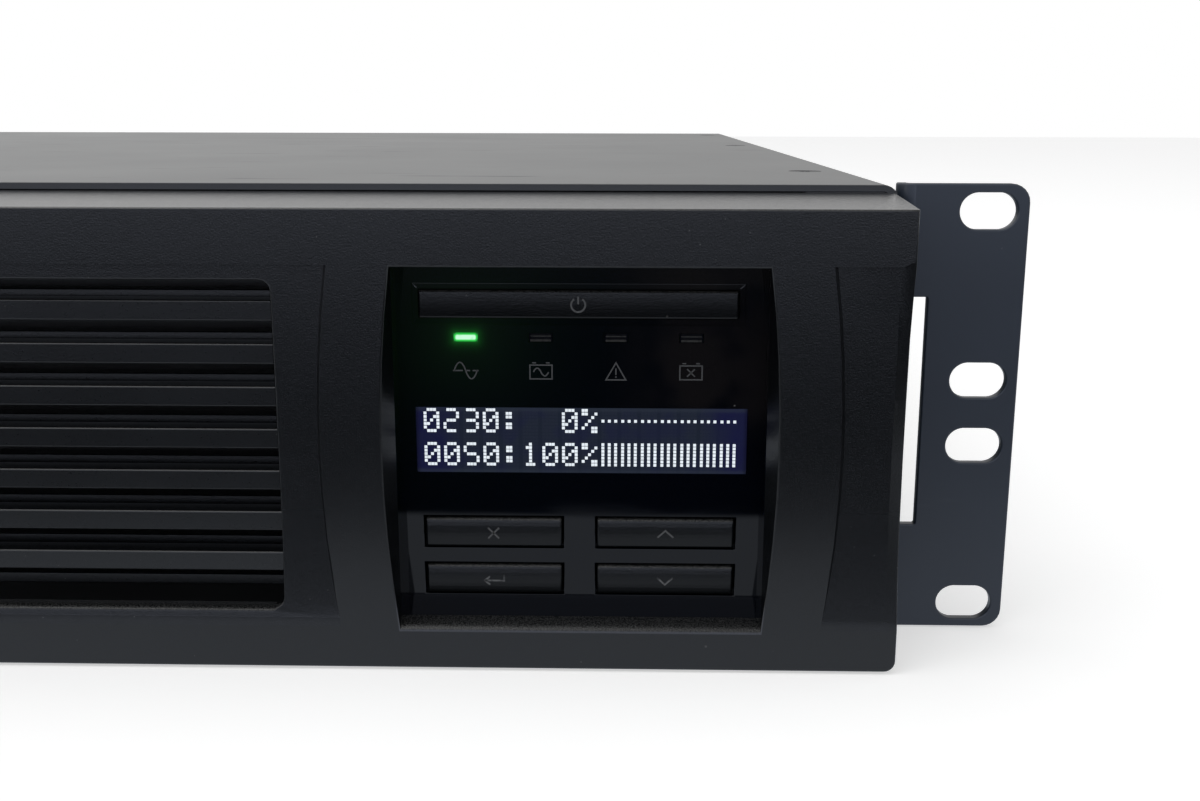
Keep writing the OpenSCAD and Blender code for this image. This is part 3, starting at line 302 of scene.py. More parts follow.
def smooth_plastic(name, colour, rough):
    """Plain moulding with a fine satin surface and a trace of flow marks."""
    plastic = Finish(name, ior=1.48)
    flow = plastic.noise(0.02, 3, at=plastic.stretched(plastic.place(), (1, 1, 0.3)))
    fine = plastic.noise(0.0004, 2)
    plastic.set("Base Color", plastic.mix(flow, colour, scaled(colour, 1.3)))
    plastic.set("Roughness", rough + flow * 0.1 - 0.05)
    plastic.set("Normal", plastic.bump(fine, 3e-6))
    return plastic.material


def bare_metal(name, colour, rough, streak=(1, 1, 1), mottled=0.0):
    """Plated or rolled metal with streaks along one way and a light mottle."""
    metal = Finish(name, metallic=1.0)
    lines = metal.noise(0.0006, 3, at=metal.stretched(metal.place(), streak))
    patch = metal.noise(0.006, 4, 0.6)
    metal.set("Base Color", metal.mix(patch.ramp(0.3, 0.7), colour, scaled(colour, 0.75 - mottled)))
    metal.set("Roughness", rough + lines * 0.16 - 0.08 + patch * 0.1)
    metal.set("Normal", metal.bump(lines, 4e-6))
    return metal.material


def lamp_distance(graph, half_width, half_height):
    """How far a point lies outside the bright middle of the lit lamp, seen from the front."""
    lamp = middle("online_light")
    x, _, z = graph.axes(graph.place())
    beside = ((x - lamp.x).size() - half_width).above_zero()
    above = ((z - lamp.z).size() - half_height).above_zero()
    return (beside ** 2 + above ** 2) ** 0.5


def gloss_black():
    """Polished smoked acrylic with dust, wipe marks, a painted reflection in paler brownish patches right of
    the screen, and a painted green glow beside the lit lamp.
    """
    gloss = Finish("smoked_acrylic", ior=1.49, specular_ior_level=0.32, emission_strength=1.0)
    wipe = gloss.noise(0.006, 4, at=gloss.stretched(gloss.place(), (0.3, 1, 1.6))).ramp(0.45, 0.8)
    dust = gloss.specks(0.0075, 0.00022)
    x, _, z = gloss.axes(gloss.place())
    screen = middle("lcd_window")
    # Painted reflection: paler, browner patches in the colour, right of the screen's middle and from a little
    # below its middle upwards.
    painted_reflection = (x - screen.x).ramp(0.002, 0.02) * gloss.noise(0.012, 2).ramp(0.3, 0.6)
    painted_reflection = painted_reflection * (z - screen.z).ramp(-0.002, 0.008)
    body = gloss.mix(painted_reflection, (0.0012, 0.0019, 0.0044, 1), (0.0085, 0.0078, 0.0092, 1))
    gloss.set("Base Color", gloss.mix(dust * 0.5, body, grey(0.2)))
    gloss.set("Roughness", 0.035 + wipe * 0.07 + dust * 0.3)
    gloss.set("Normal", gloss.bump(gloss.noise(0.02, 1), 1.5e-5))
    # Painted glow: the panel itself gives off green light around the lit lamp, a tight halo and a wide faint
    # spill.
    away = lamp_distance(gloss, 1.7 * MM, 0.5 * MM)
    near = (0 - away / (0.55 * MM)).growth()
    wide = (0 - away / (9 * MM)).growth()
    painted_near_glow = gloss.mix(near, (0, 0, 0, 1), (0.006, 0.11, 0.012, 1))
    painted_wide_glow = gloss.mix(wide, (0, 0, 0, 1), (0.0024, 0.0065, 0.002, 1))
    glow = gloss.add("ShaderNodeVectorMath", {"operation": "ADD"}, {0: painted_near_glow, 1: painted_wide_glow})
    gloss.set("Emission Color", glow)
    return gloss.material


def screen_pane():
    """Backlit screen: bluish light leaks in at its ends and along the rims of a grid of unlit dots."""
    low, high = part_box("lcd_window")
    pane = Finish("screen_pane", base_color=grey(0.003, 0.4), roughness=0.1, ior=1.5, emission_strength=1.0)
    x, _, z = pane.axes(pane.place())
    across = (x - (low.x + high.x) / 2) / ((high.x - low.x) / 2)
    upwards = (z - (low.z + high.z) / 2) / ((high.z - low.z) / 2)
    ends = across.size().ramp(0.68, 0.95)
    fade = across.size().ramp(0.97, 1.0, 1, 0.5)
    rims = upwards.size().ramp(0.84, 0.97)
    column = (x - screen_left()).repeat(CELL)
    row = (z - low.z).repeat(DOT_STEP * 1.1)
    dots = (column < DOT_STEP * 5) * (column.repeat(DOT_STEP) < DOT) * (row < DOT)
    patch = pane.noise(0.005, 2).ramp(0.4, 0.7)
    middle_light = pane.mix(dots, (0.0105, 0.0145, 0.026, 1), (0.0135, 0.0178, 0.031, 1))
    leak = pane.mix((ends * 0.85 + patch * 0.4).capped(), middle_light, (0.0075, 0.0085, 0.038, 1))
    lit = pane.mix((rims * 0.45).capped(), leak, (0.024, 0.031, 0.046, 1))
    pane.set("Emission Color", pane.mix(fade, (0.001, 0.001, 0.004, 1), lit))
    return pane.material


def lit_dots(colour):
    """The lit dots of the screen, a little uneven."""
    dots = Finish("screen_white", base_color=grey(0.02), roughness=0.3, emission_strength=1.0)
    patch = dots.noise(0.0007, 2).ramp(0.2, 0.7)
    dots.set("Emission Color", dots.mix(patch, scaled(colour, 0.82), colour))
    return dots.material


def green_lamp():
    """A light pipe lit from behind: pale core, deep green towards its rim."""
    lamp = Finish("green_lamp", base_color=(0.01, 0.1, 0.03, 1), roughness=0.2, emission_strength=1.0)
    away = lamp_distance(lamp, 1.5 * MM, 0.12 * MM)
    core = away.ramp(0.45 * MM, 0.15 * MM) * lamp.noise(0.0009, 1).ramp(0.25, 0.6, 0.7, 1)
    rim = away.ramp(0.8 * MM, 0.4 * MM)
    edge = lamp.mix(rim, (0.003, 0.045, 0.006, 1), (0.02, 0.6, 0.06, 1))
    lamp.set("Emission Color", lamp.mix(core, edge, (0.6, 1.0, 0.72, 1)))
    return lamp.material


def circuit_board():
    """Green solder mask over fine copper tracks."""
    board = Finish("circuit_board", roughness=0.35, ior=1.5)
    cells = board.add("ShaderNodeTexBrick", {}, {"Vector": board.place(), "Scale": 90.0, "Mortar Size": 0.02,
                                                 "Color1": (0, 0, 0, 1), "Color2": (0.25, 0.25, 0.25, 1),
                                                 "Mortar": (1, 1, 1, 1)}, 1)
    blotch = board.noise(0.012, 4)
    tracks = (cells * 0.6 + blotch.ramp(0.48, 0.52) * 0.4).capped()
    board.set("Base Color", board.mix(tracks, (0.012, 0.09, 0.035, 1), (0.03, 0.17, 0.06, 1)))
    board.set("Normal", board.bump(tracks, 2e-5))
    return board.material


def wound_copper():
    """Enamelled copper wire wound side by side."""
    coil = Finish("wound_copper", metallic=0.85, roughness=0.32)
    _, _, z = coil.axes(coil.place())
    turns = ((z / 0.0012).wave() * 0.5 + 0.5) ** 0.5
    tone = coil.noise(0.01, 3)
    coil.set("Base Color", coil.mix(tone, (0.42, 0.16, 0.05, 1), (0.58, 0.26, 0.09, 1)))
    coil.set("Normal", coil.bump(turns, 2.2e-4))
    return coil.material


def laminations():
    """Stacked core sheets, each edge a fine line."""
    core = Finish("core_laminations", metallic=0.6)
    _, y, _ = core.axes(core.place())
    sheets = (y / 0.00016).wave() * 0.5 + 0.5
    tone = core.noise(0.008, 4)
    core.set("Base Color", core.mix(tone, (0.06, 0.05, 0.042, 1), (0.13, 0.1, 0.08, 1)))
    core.set("Roughness", 0.42 + tone * 0.2)
    core.set("Normal", core.bump(sheets, 4e-5))
    return core.material


def webbing():
    """Woven strap: a twill of narrow ribs."""
    strap = Finish("woven_strap", roughness=0.8, sheen_weight=0.3)
    x, _, z = strap.axes(strap.place())
    weave = ((x + z) / 0.0004).wave() * ((x - z) / 0.0004).wave()
    strap.set("Base Color", strap.mix(weave * 0.5 + 0.5, grey(0.008), grey(0.03)))
    strap.set("Normal", strap.bump(weave, 2e-4))
    return strap.material


def smoked_lens():
    """Unlit light pipe: dark smoked plastic with two thin paler lines, painted reflections, across each lens.
    """
    lens = Finish("smoked_lens", roughness=0.12, ior=1.5, specular_ior_level=0.32)
    lamps = [(low + high) / 2 for low, high in loose_parts("status_lights")]
    step = lamps[1].x - lamps[0].x
    x, _, z = lens.axes(lens.place())
    beside = ((x - lamps[0].x + step / 2).repeat(step) - step / 2).size()
    height = z - lamps[0].z
    # Painted reflections: two thin pale lines and a faint pale wash across each lens, broken up a little.
    upper = (height - 0.27 * MM).size().ramp(0.14 * MM, 0.06 * MM) * 0.8
    lower = (height + 0.5 * MM).size().ramp(0.24 * MM, 0.12 * MM)
    tone_and_highlight = lens.noise(0.0006, 2).ramp(0.25, 0.6, 0.5, 1)
    lines = (upper + lower + 0.12) * beside.ramp(1.9 * MM, 1.75 * MM) * tone_and_highlight
    lens.set("Base Color", lens.mix(lines.capped(), (0.0012, 0.0019, 0.0044, 1), grey(0.045, 0.05)))
    return lens.material


def worn_ink():
    """Grey print that has come off in places down to the key."""
    ink = Finish("worn_print", roughness=0.5)
    wear = ink.noise(0.0007, 3).ramp(0.4, 0.55)
    ink.set("Base Color", ink.mix(wear, grey(0.008, 0.1), grey(0.13, 0.05)))
    return ink.material


def make_finishes():
    """Every finish by its name, which for most is the name of a slot too."""
    return {
        "case_paint": powder_paint("case_paint", grey(0.021, 0.1), 0.34),
        "ear_paint": powder_paint("ear_paint", (0.02, 0.027, 0.04, 1), 0.38),
        "black_screw": bare_metal("black_screw", grey(0.05, 0.1), 0.38),
        "zinc_steel": bare_metal("zinc_steel", grey(0.56, 0.05), 0.34, (1, 0.1, 1), 0.1),
        # The bezel's and the keys' painted highlight on faces that look up is set in their lines below.
        "bezel_plastic": moulded_plastic("bezel_plastic", grey(0.0008, 1.2), 0.25, tone_and_highlight=0.2,
                                         satin=0.42, specular_ior_level=0.3, coat_roughness=0.28),
        "louvre_plastic": moulded_plastic("louvre_plastic", grey(0.0016, 0.6), 0.3, depth=3e-5),
        "display_gloss": gloss_black(),
        "key_plastic": moulded_plastic("key_plastic", grey(0.002, 0.5), 0.25, 0.0003, 5e-5, tone_and_highlight=0.35,
                                       specular_ior_level=0.28),
        "dark_plastic": moulded_plastic("dark_plastic", grey(0.012, 0.1), 0.5),
        "screen_glass": screen_pane(),
        "screen_module": smooth_plastic("screen_module", grey(0.03, 0.1), 0.4),
        "lit_green": green_lamp(),
        "unlit_light": smoked_lens(),
        "circuit_board": circuit_board(),
        "switch_metal": bare_metal("switch_metal", grey(0.6), 0.28),
        "brass": bare_metal("brass", (0.62, 0.45, 0.2, 1), 0.28),
        "battery_case": moulded_plastic("battery_case", grey(0.035, 0.15), 0.48, 0.0008, 5e-5),
        "red_plastic": smooth_plastic("red_plastic", (0.36, 0.035, 0.03, 1), 0.32),
        "black_wire": smooth_plastic("black_wire", grey(0.014), 0.42),
        "strap_web": webbing(),
        "runner_plastic": smooth_plastic("runner_plastic", (0.62, 0.61, 0.56, 1), 0.35),
        "rubber": smooth_plastic("rubber", grey(0.01), 0.7),
        "core_steel": laminations(),
        "winding": wound_copper(),
        "heatsink": bare_metal("heatsink", grey(0.5, 0.03), 0.4, (1, 0.05, 1), 0.05),
        "capacitor_sleeve": smooth_plastic("capacitor_sleeve", (0.012, 0.018, 0.045, 1), 0.25),
        "ribbon_grey": smooth_plastic("ribbon_grey", grey(0.35, 0.03), 0.5),
        "reset_white": smooth_plastic("reset_white", grey(0.62, -0.05), 0.3),
        "printed_grey": smooth_plastic("printed_grey", grey(0.062, 0.05), 0.5),
        "printed_thin": smooth_plastic("printed_thin", grey(0.048, 0.05), 0.5),
        "worn_print": worn_ink(),
        "screen_white": lit_dots((0.86, 0.93, 1.0, 1)),
    }


# ---- Making pieces ----

def piece(name, mesh, body, slot, finish=None, replaced=()):
    """A finished mesh as a piece of the object."""
    mesh.materials.clear()
    mesh.materials.append(FINISH[finish or slot])
    obj = bpy.data.objects.new(name, mesh)
    bpy.context.scene.collection.objects.link(obj)
    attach(obj, body)
    if replaced:
        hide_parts(*replaced)
    return obj


def stand_in(node, mesh):
    """A piece that takes the place of one solid."""
    return piece(node + "_piece", mesh, BODY_OF[node], SLOT_OF[node], replaced=[node])


def mesh_of(builder, name, outwards=True):
    """Ends the building of a mesh, with its faces turned outwards."""
    mesh = bpy.data.meshes.new(name)
    if outwards:
        bmesh.ops.recalc_face_normals(builder, faces=builder.faces)
    builder.normal_update()
    builder.to_mesh(mesh)
    builder.free()
    return mesh


def cleaned(node):
    """The node's solid with its flat faces joined up again."""
    builder = bmesh.new()
    builder.from_mesh(NODES[node].data)
    bmesh.ops.remove_doubles(builder, verts=builder.verts, dist=1e-6)
    bmesh.ops.dissolve_limit(builder, angle_limit=math.radians(0.3), verts=builder.verts,
                             edges=builder.edges)
    return builder


def loose_parts(node):
    """The low and high corners of each separate body in a node's solid, in a fixed order."""
    builder = cleaned(node)
    waiting = set(builder.verts)
    parts = []
    while waiting:
        reached = [waiting.pop()]
        for vert in reached:
            for edge in vert.link_edges:
                other = edge.other_vert(vert)
                if other in waiting:
                    waiting.remove(other)
                    reached.append(other)
        parts.append([Vector([pick(vert.co[axis] for vert in reached) for axis in range(3)])
                      for pick in (min, max)])
    builder.free()
    return sorted(parts, key=lambda part: tuple(round(value, 5) for value in part[0]))


def bend(edge):
    """Angle between the two faces of an edge, in degrees."""
    return math.degrees(edge.calc_face_angle()) if len(edge.link_faces) == 2 else 0


def soften(builder, radius, segments=2, angle=30, shortest=0.0, wanted=lambda edge: True):
    """Rounds the sharp edges, or only those that are long enough and wanted; flat faces stay flat."""
    for face in builder.faces:
        face.smooth = any(0.5 < bend(edge) <= angle for edge in face.edges)
    sharp = [edge for edge in builder.edges
             if bend(edge) > angle and edge.calc_length() > shortest and wanted(edge)]
    made = bmesh.ops.bevel(builder, geom=sharp, offset=radius, segments=segments, profile=0.5,
                           affect="EDGES", clamp_overlap=False, loop_slide=False, miter_outer="ARC",
                           spread=0.0)
    for face in made["faces"]:
        face.smooth = True
    for edge in builder.edges:
        wide = all(face.calc_area() > 1e-4 for face in edge.link_faces)
        edge.smooth = bend(edge) < (0.2 if wide else 50)
    return set(made["faces"])


def flat_region(start):
    """The faces that lie in one plane with a face and join up with it."""
    region = {start: None}
    waiting = [start]
    while waiting:
        for edge in waiting.pop().edges:
            for face in edge.link_faces:
                if face not in region and face.normal.dot(start.normal) > 0.9999985:
                    region[face] = None
                    waiting.append(face)
    return region


def crossings(place, walls, flat):
    """How often a level line from a place to its right crosses the walls."""
    count = 0
    for i, j in walls:
        low, high = flat[i], flat[j]
        if (low.y > place.y) != (high.y > place.y):
            count += place.x < low.x + (high.x - low.x) * (place.y - low.y) / (high.y - low.y)
    return count


def spread_of(cell, flat):
    """Area of a triangle."""
    first, second, third = (flat[i] for i in cell)
    return abs((second - first).cross(third - first)) / 2


def rooms(cells, walls):
    """Groups of triangles that are not parted by a wall."""
    beside = {}
    for cell in cells:
        for k in range(3):
            beside.setdefault(frozenset((cell[k - 1], cell[k])), []).append(cell)
    waiting, groups = dict.fromkeys(cells), []
    while waiting:
        group = [waiting.popitem()[0]]
        for cell in group:
            for k in range(3):
                side = frozenset((cell[k - 1], cell[k]))
                for other in beside[side] if side not in walls else []:
                    if other in waiting:
                        del waiting[other]
                        group.append(other)
        groups.append(group)
    return groups


def from_lowest(cell):
    """The same corners in the same turn, with the lowest number first."""
    start = cell.index(min(cell))
    return cell[start:] + cell[:start]


def inside_cells(flat, pairs):
    """Well-shaped triangles that fill an outline with holes, as corner numbers."""
    _, _, cells, origins, _, _ = delaunay_2d_cdt(flat, pairs, [], 0, 1e-9)
    if not all(origins):
        return []
    first = {number: origin[0] for origin in origins for number in origin}
    walls = {frozenset((first[i], first[j])) for i, j in pairs}
    cells = sorted(from_lowest(tuple(origins[i][0] for i in cell)) for cell in cells)
    kept = []
    for group in rooms(cells, walls):
        widest = max(group, key=lambda cell: spread_of(cell, flat))
        centre = sum((flat[i] for i in widest), Vector((0, 0))) / 3
        longest = max((flat[widest[k]] - flat[widest[k - 1]]).length for k in range(3))
        if spread_of(widest, flat) > 5e-8 * longest and crossings(centre, pairs, flat) % 2:
            kept += group
    return kept


def refill(builder, region, normal):
    """Replaces the faces of a flat region by well-shaped triangles, shaded as most of them were."""
    edges = list(dict.fromkeys(edge for face in region for edge in face.edges))
    outline = [edge for edge in edges if sum(near in region for near in edge.link_faces) == 1]
    inner = [edge for edge in edges if sum(near in region for near in edge.link_faces) > 1]
    smooth = sum(face.smooth for face in region) > len(region) / 2
    across = normal.orthogonal().normalized()
    upwards = normal.cross(across)
    verts = list(dict.fromkeys(vert for edge in outline for vert in edge.verts))
    number = {vert: i for i, vert in enumerate(verts)}
    flat = [Vector((vert.co.dot(across), vert.co.dot(upwards))) for vert in verts]
    pairs = [(number[edge.verts[0]], number[edge.verts[1]]) for edge in outline]
    cells = inside_cells(flat, pairs)
    before = sum(face.calc_area() for face in region)
    if abs(sum(spread_of(cell, flat) for cell in cells) - before) > 0.02 * before:
        return
    for face in region:
        builder.faces.remove(face)
    for edge in inner:
        builder.edges.remove(edge)
    for cell in cells:
        builder.faces.new([verts[i] for i in cell]).smooth = smooth


def settle_order(builder):
    """Puts points, edges and faces in an order that is the same in each run."""
    ranked = sorted(builder.verts, key=lambda vert: tuple(round(value, 6) for value in vert.co))
    for rank, vert in enumerate(ranked):
        vert.index = rank
    builder.verts.sort()
    for parts in (builder.edges, builder.faces):
        ranked = sorted(parts, key=lambda part: sorted(vert.index for vert in part.verts))
        for rank, part in enumerate(ranked):
            part.index = rank
        parts.sort()


def tessellate(builder):
    """Cuts many-sided flat faces into well-shaped triangles."""
    bmesh.ops.dissolve_degenerate(builder, dist=2e-6, edges=builder.edges)
    builder.normal_update()
    waiting = [face for face in builder.faces if len(face.verts) > 4]
    for face in waiting:
        if face.is_valid:
            refill(builder, flat_region(face), face.normal.copy())
    loose = [vert for vert in builder.verts if not vert.link_faces]
    bmesh.ops.delete(builder, geom=loose, context="VERTS")
    settle_order(builder)


def favour_wide_faces(obj):
    """Wide faces stay flat, and narrow ones beside them take up the curve."""
    shading = obj.modifiers.new("shading", "WEIGHTED_NORMAL")
    shading.weight = 100
    shading.keep_sharp = True


def shaded(obj):
    """Smooth shading, broken at the sharp edges."""
    obj.data.shade_smooth()
    obj.data.set_sharp_from_angle(angle=math.radians(40))
    favour_wide_faces(obj)


def rounded(node, radius, shortest=0.0, wanted=lambda edge: True):
    """A piece in place of a solid, with a small radius along its edges as a mould or brake leaves it."""
    builder = cleaned(node)
    soften(builder, radius, shortest=shortest, wanted=wanted)
    tessellate(builder)
    favour_wide_faces(stand_in(node, mesh_of(builder, node + "_rounded", outwards=False)))


def at(value, target):
    """True where two places agree to a few thousandths of a millimetre."""
    return abs(value - target) < 5e-6


def add_cuts(builder, places, way, wanted):
    """Cuts the wanted faces across, at each place along a way, without moving anything."""
    for place in places:
        faces = [face for face in builder.faces if wanted(face)]
        edges = dict.fromkeys(edge for face in faces for edge in face.edges)
        verts = dict.fromkeys(vert for face in faces for vert in face.verts)
        bmesh.ops.bisect_plane(builder, geom=[*faces, *edges, *verts], dist=1e-6,
                               plane_co=place * Vector(way), plane_no=way)


# ---- Bezel ----

SIDE_STRIP = 2.2 * MM       # width of the strip at both ends that turns to the side
STRIP_TURN = 1.0 * MM       # how far the strip falls back at the bezel's side
FIELD_FALL = 2.1 * MM       # depth of the sunk fields under the top band; they run out at their lower edge
FIELD_LEAN = 31 * MM        # the fields lean back over this height and stand upright above it
SOLID_FALLS = (0.8 * MM, 1.2 * MM)      # how far the plain solid's grips and louvre field lie back
GRIP_SIDE = 214.1 * MM      # how far out the plain solid reaches along its finger grips
PILLAR_X = -195.5 * MM      # middle of the raised pillar between the louvre field and the left grip
WINDOW_FOOT = 8.5 * MM      # height of the window's lower edge
LOUVRE_FOOT = 11.4 * MM     # height of the louvre opening's lower edge
WINDOW_DEPTH = 3 * MM       # depth of the window's walls behind the bezel's front
WINDOW_INSET = 2.85 * MM    # from the display's side to the inner edge of the window's wall


def field_depth(z, low):
    """How far a sunk field lies behind the front at a height."""
    return FIELD_FALL * (1 - max(0, 1 - (z - low) / FIELD_LEAN) ** 2)


def lean_sunk_fields(builder, front, side, levels, low, high):
    """The sunk fields and the strips at their outer ends get their curved, leaning shape."""
    def on_a_level(vert):
        return any(at(vert.co.y, level) for level in levels)

    def in_field(face):
        return all(low - 1e-5 < vert.co.z < high + 1e-5 and vert.co.y < front + 4 * MM
                   and (at(abs(vert.co.x), GRIP_SIDE) or on_a_level(vert)) for vert in face.verts)

    def in_front(face):
        return all(at(vert.co.y, front) for vert in face.verts)

    rows = [low + part * FIELD_LEAN for part in (0.05, 0.14, 0.24, 0.36, 0.5, 0.7, 1, 1.35, 1.7, 1.95)]
    add_cuts(builder, rows, (0, 0, 1), in_field)
    add_cuts(builder, [side - SIDE_STRIP, SIDE_STRIP - side], (1, 0, 0), in_front)
    stepped = {vert for vert in builder.verts for face in vert.link_faces
               if any(at(other.co.y, front) for other in face.verts)}
    floor = [face for face in builder.faces if all(at(vert.co.z, low) for vert in face.verts)
             and any(on_a_level(vert) for vert in face.verts)]
    bmesh.ops.delete(builder, geom=floor, context="FACES_ONLY")
    for vert in builder.verts:
        x, y, z = vert.co
        depth = field_depth(z, low)
        if low - 1e-5 < z < high + 1e-5 and side - 2 * MM < abs(x) < side - 1e-5:
            vert.co.x = math.copysign(side, x)
            if y < front + 4 * MM:
                back_again = 1 - ((z - low) / (high - low)) ** 6
                vert.co.y = front + depth * (1 + STRIP_TURN / FIELD_FALL) * back_again
        elif on_a_level(vert):
            vert.co.y = front + depth
            if abs(x) > side - 3 * MM:
                vert.co.x = math.copysign(side - SIDE_STRIP, x)
            elif vert in stepped:
                hub = min((middle("display_fascia").x, PILLAR_X), key=lambda place: abs(x - place))
                vert.co.x += math.copysign(0.4 * depth, x - hub)
    bmesh.ops.remove_doubles(builder, verts=builder.verts, dist=1e-5)


def slope_sill(builder, front, height, lip, reach, drop):
    """Turns the front of an opening's lower edge into a slope that starts at a lip."""
    def in_sill(face):
        level = all(at(vert.co.z, height) or (vert.co.z < height + 0.6 * MM and vert.co.y > front + 2 * MM)
                    for vert in face.verts)
        return level and any(vert.co.y < lip + 0.2 * MM for vert in face.verts)

    add_cuts(builder, [lip + reach], (0, 1, 0), in_sill)
    for vert in builder.verts:
        if vert.co.y < lip + 0.3 * MM and at(vert.co.z, height):
            vert.co.z -= drop


def flare_window(builder, front, window):
    """The window's walls lean in from its bowed front edge to the straight rim of the display."""
    low, high = window
    mouth = [vert.co.copy() for vert in builder.verts if at(vert.co.y, front)]
    centre = (low + high) / 2
    reach = (high.x - low.x) / 2 - WINDOW_INSET
    inner_edge = [vert for vert in builder.verts if at(vert.co.y, front + WINDOW_DEPTH)]
    for vert in inner_edge:
        if any(at(vert.co.x, co.x) and at(vert.co.z, co.z) for co in mouth):
            vert.co.x = centre.x + math.copysign(reach, vert.co.x - centre.x)
            vert.co.y = low.y - 0.06 * MM
            vert.co.z = centre.z + (vert.co.z - centre.z) * 0.985


def build_bezel():
    """The bezel with leaning fields, flared window walls and sloped sills under its two openings."""
    low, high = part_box("front_bezel")
    front, side = low.y, high.x
    levels = [front + fall for fall in SOLID_FALLS]
    builder = cleaned("front_bezel")
    field = [pick(vert.co.z for vert in builder.verts if at(vert.co.y, levels[0])) for pick in (min, max)]
    lean_sunk_fields(builder, front, side, levels, *field)
    flare_window(builder, front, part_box("display_fascia"))
    louvre_lip = front + field_depth(LOUVRE_FOOT, field[0])
    slope_sill(builder, front, WINDOW_FOOT, lip=front, reach=1.2 * MM, drop=0.9 * MM)
    slope_sill(builder, front, LOUVRE_FOOT, lip=louvre_lip, reach=0.9 * MM, drop=0.5 * MM)
    builder.normal_update()

    def outside(edge):
        """A convex edge of the front wall, but no step between a rib and a field."""
        step = all(at(vert.co.y, front) and field[0] < vert.co.z < field[1] + 1e-5 for vert in edge.verts)
        beside = abs(edge.verts[0].co.x - middle("display_fascia").x) > 40 * MM
        foremost = all(vert.co.y < front + WINDOW_DEPTH for vert in edge.verts)
        return edge.is_convex and foremost and not (step and beside)

    strips = soften(builder, 0.3 * MM, angle=40, wanted=outside)
    for edge in builder.edges:
        ahead = all(face.normal.y < -0.9 and face not in strips for face in edge.link_faces)
        if ahead and bend(edge) > 5:
            edge.smooth = False
    tessellate(builder)
    favour_wide_faces(stand_in("front_bezel", mesh_of(builder, "front_bezel_rounded", outwards=False)))


# ---- Shapes ----

def lofted(rings, capped=True):
    """A skin through rings of points, closed at both ends unless the last one is to stay open."""
    builder = bmesh.new()
    loops = [[builder.verts.new(point) for point in ring] for ring in rings]
    for low, high in zip(loops, loops[1:]):
        for i, vert in enumerate(low):
            j = (i + 1) % len(low)
            builder.faces.new((vert, low[j], high[j], high[i]))
    builder.faces.new(loops[0])
    if capped:
        builder.faces.new(loops[-1])
    return builder


def circle(radius, height, count=32, flute=0.0):
    """Points on a level circle; every other one lies deeper where it is fluted."""
    turns = [(2 * math.pi * i / count, radius - flute * (i % 2)) for i in range(count)]
    return [Vector((r * math.cos(a), r * math.sin(a), height)) for a, r in turns]


def rounded_outline(width, depth, radius, height, steps=4):
    """Points on a level rectangle with rounded corners around the origin."""
    points = []
    for turn, (side, end) in enumerate([(1, 1), (-1, 1), (-1, -1), (1, -1)]):
        for step in range(steps + 1):
            angle = math.pi / 2 * (turn + step / steps)
            points.append(Vector((side * (width / 2 - radius) + radius * math.cos(angle),
                                  end * (depth / 2 - radius) + radius * math.sin(angle), height)))
    return points


def cross_outline(reach, half, height):
    """Points on a level cross."""
    quarter = [(reach, -half), (reach, half), (half, half)]
    points = []
    for turn in range(4):
        spin = Matrix.Rotation(turn * math.pi / 2, 3, "Z")
        points += [spin @ Vector((x, y, height)) for x, y in quarter]
    return points


def cross_recess(builder, rim, reach, half, depth):
    """Closes the open top ring with a flat face that has a cross-shaped recess in it."""
    top = rim[0].co.z
    edge = [builder.verts.new(point) for point in cross_outline(reach, half, top)]
    floor = [builder.verts.new(point) for point in cross_outline(0.72 * reach, 0.6 * half, top - depth)]
    hem = [builder.edges.get((vert, rim[i - 1])) for i, vert in enumerate(rim)]
    lip = [builder.edges.new((vert, edge[i - 1])) for i, vert in enumerate(edge)]
    bmesh.ops.triangle_fill(builder, use_beauty=True, edges=hem + lip, normal=(0, 0, 1))
    for i, vert in enumerate(edge):
        builder.faces.new((edge[i - 1], vert, floor[i], floor[i - 1]))
    builder.faces.new(floor)


def screw(profile, recess, count=32):
    """A screw along +Z from (radius, height, flute depth) steps, with a cross recess in its head."""
    builder = lofted([circle(r, z, count, flute) for r, z, flute in profile], capped=False)
    builder.verts.ensure_lookup_table()
    cross_recess(builder, builder.verts[-count:], recess, 0.24 * recess, 0.8 * recess)
    return mesh_of(builder, "screw")


def add_copy(builder, mesh, place=Matrix()):
    """Adds a mesh to what is being built, at a transform."""
    start = len(builder.verts)
    builder.from_mesh(mesh)
    builder.verts.ensure_lookup_table()
    bmesh.ops.transform(builder, matrix=place, verts=builder.verts[start:])


def pointing(place, way, turn=0.0):
    """The transform that stands a +Z shape at a place, along a way, turned about itself."""
    spin = Matrix.Rotation(turn, 4, "Z")
    return Matrix.Translation(place) @ Vector(way).to_track_quat("Z", "Y").to_matrix().to_4x4() @ spin


def ribbon(builder, line, width, front, back, closed=False):
    """A line of even width on an upright face, through (x, z) points, with mitred corners."""
    points = [Vector(point) for point in line]
    count = len(points)
    loops = []
    for i, point in enumerate(points):
        near = []
        if closed or i > 0:
            near.append((point - points[i - 1]).normalized())
        if closed or i < count - 1:
            near.append((points[(i + 1) % count] - point).normalized())
        way = sum(near, Vector((0, 0))).normalized()
        across = Vector((-way.y, way.x))
        reach = width / 2 / max(0.4, way.dot(near[0]))
        left, right = point + across * reach, point - across * reach
        corners = [(left, front), (right, front), (right, back), (left, back)]
        loops.append([builder.verts.new((corner.x, y, corner.y)) for corner, y in corners])
    for i in range(count if closed else count - 1):
        low, high = loops[i], loops[(i + 1) % count]
        for k in range(4):
            builder.faces.new((low[k], low[(k + 1) % 4], high[(k + 1) % 4], high[k]))
    if not closed:
        builder.faces.new(loops[0])
        builder.faces.new(loops[-1])


def tile(builder, x, z, width, height, front, back):
    """A small upright block with its lower left corner at x, z."""
    ribbon(builder, [(x, z + height / 2), (x + width, z + height / 2)], height, front, back)


# ---- Fastenings ----

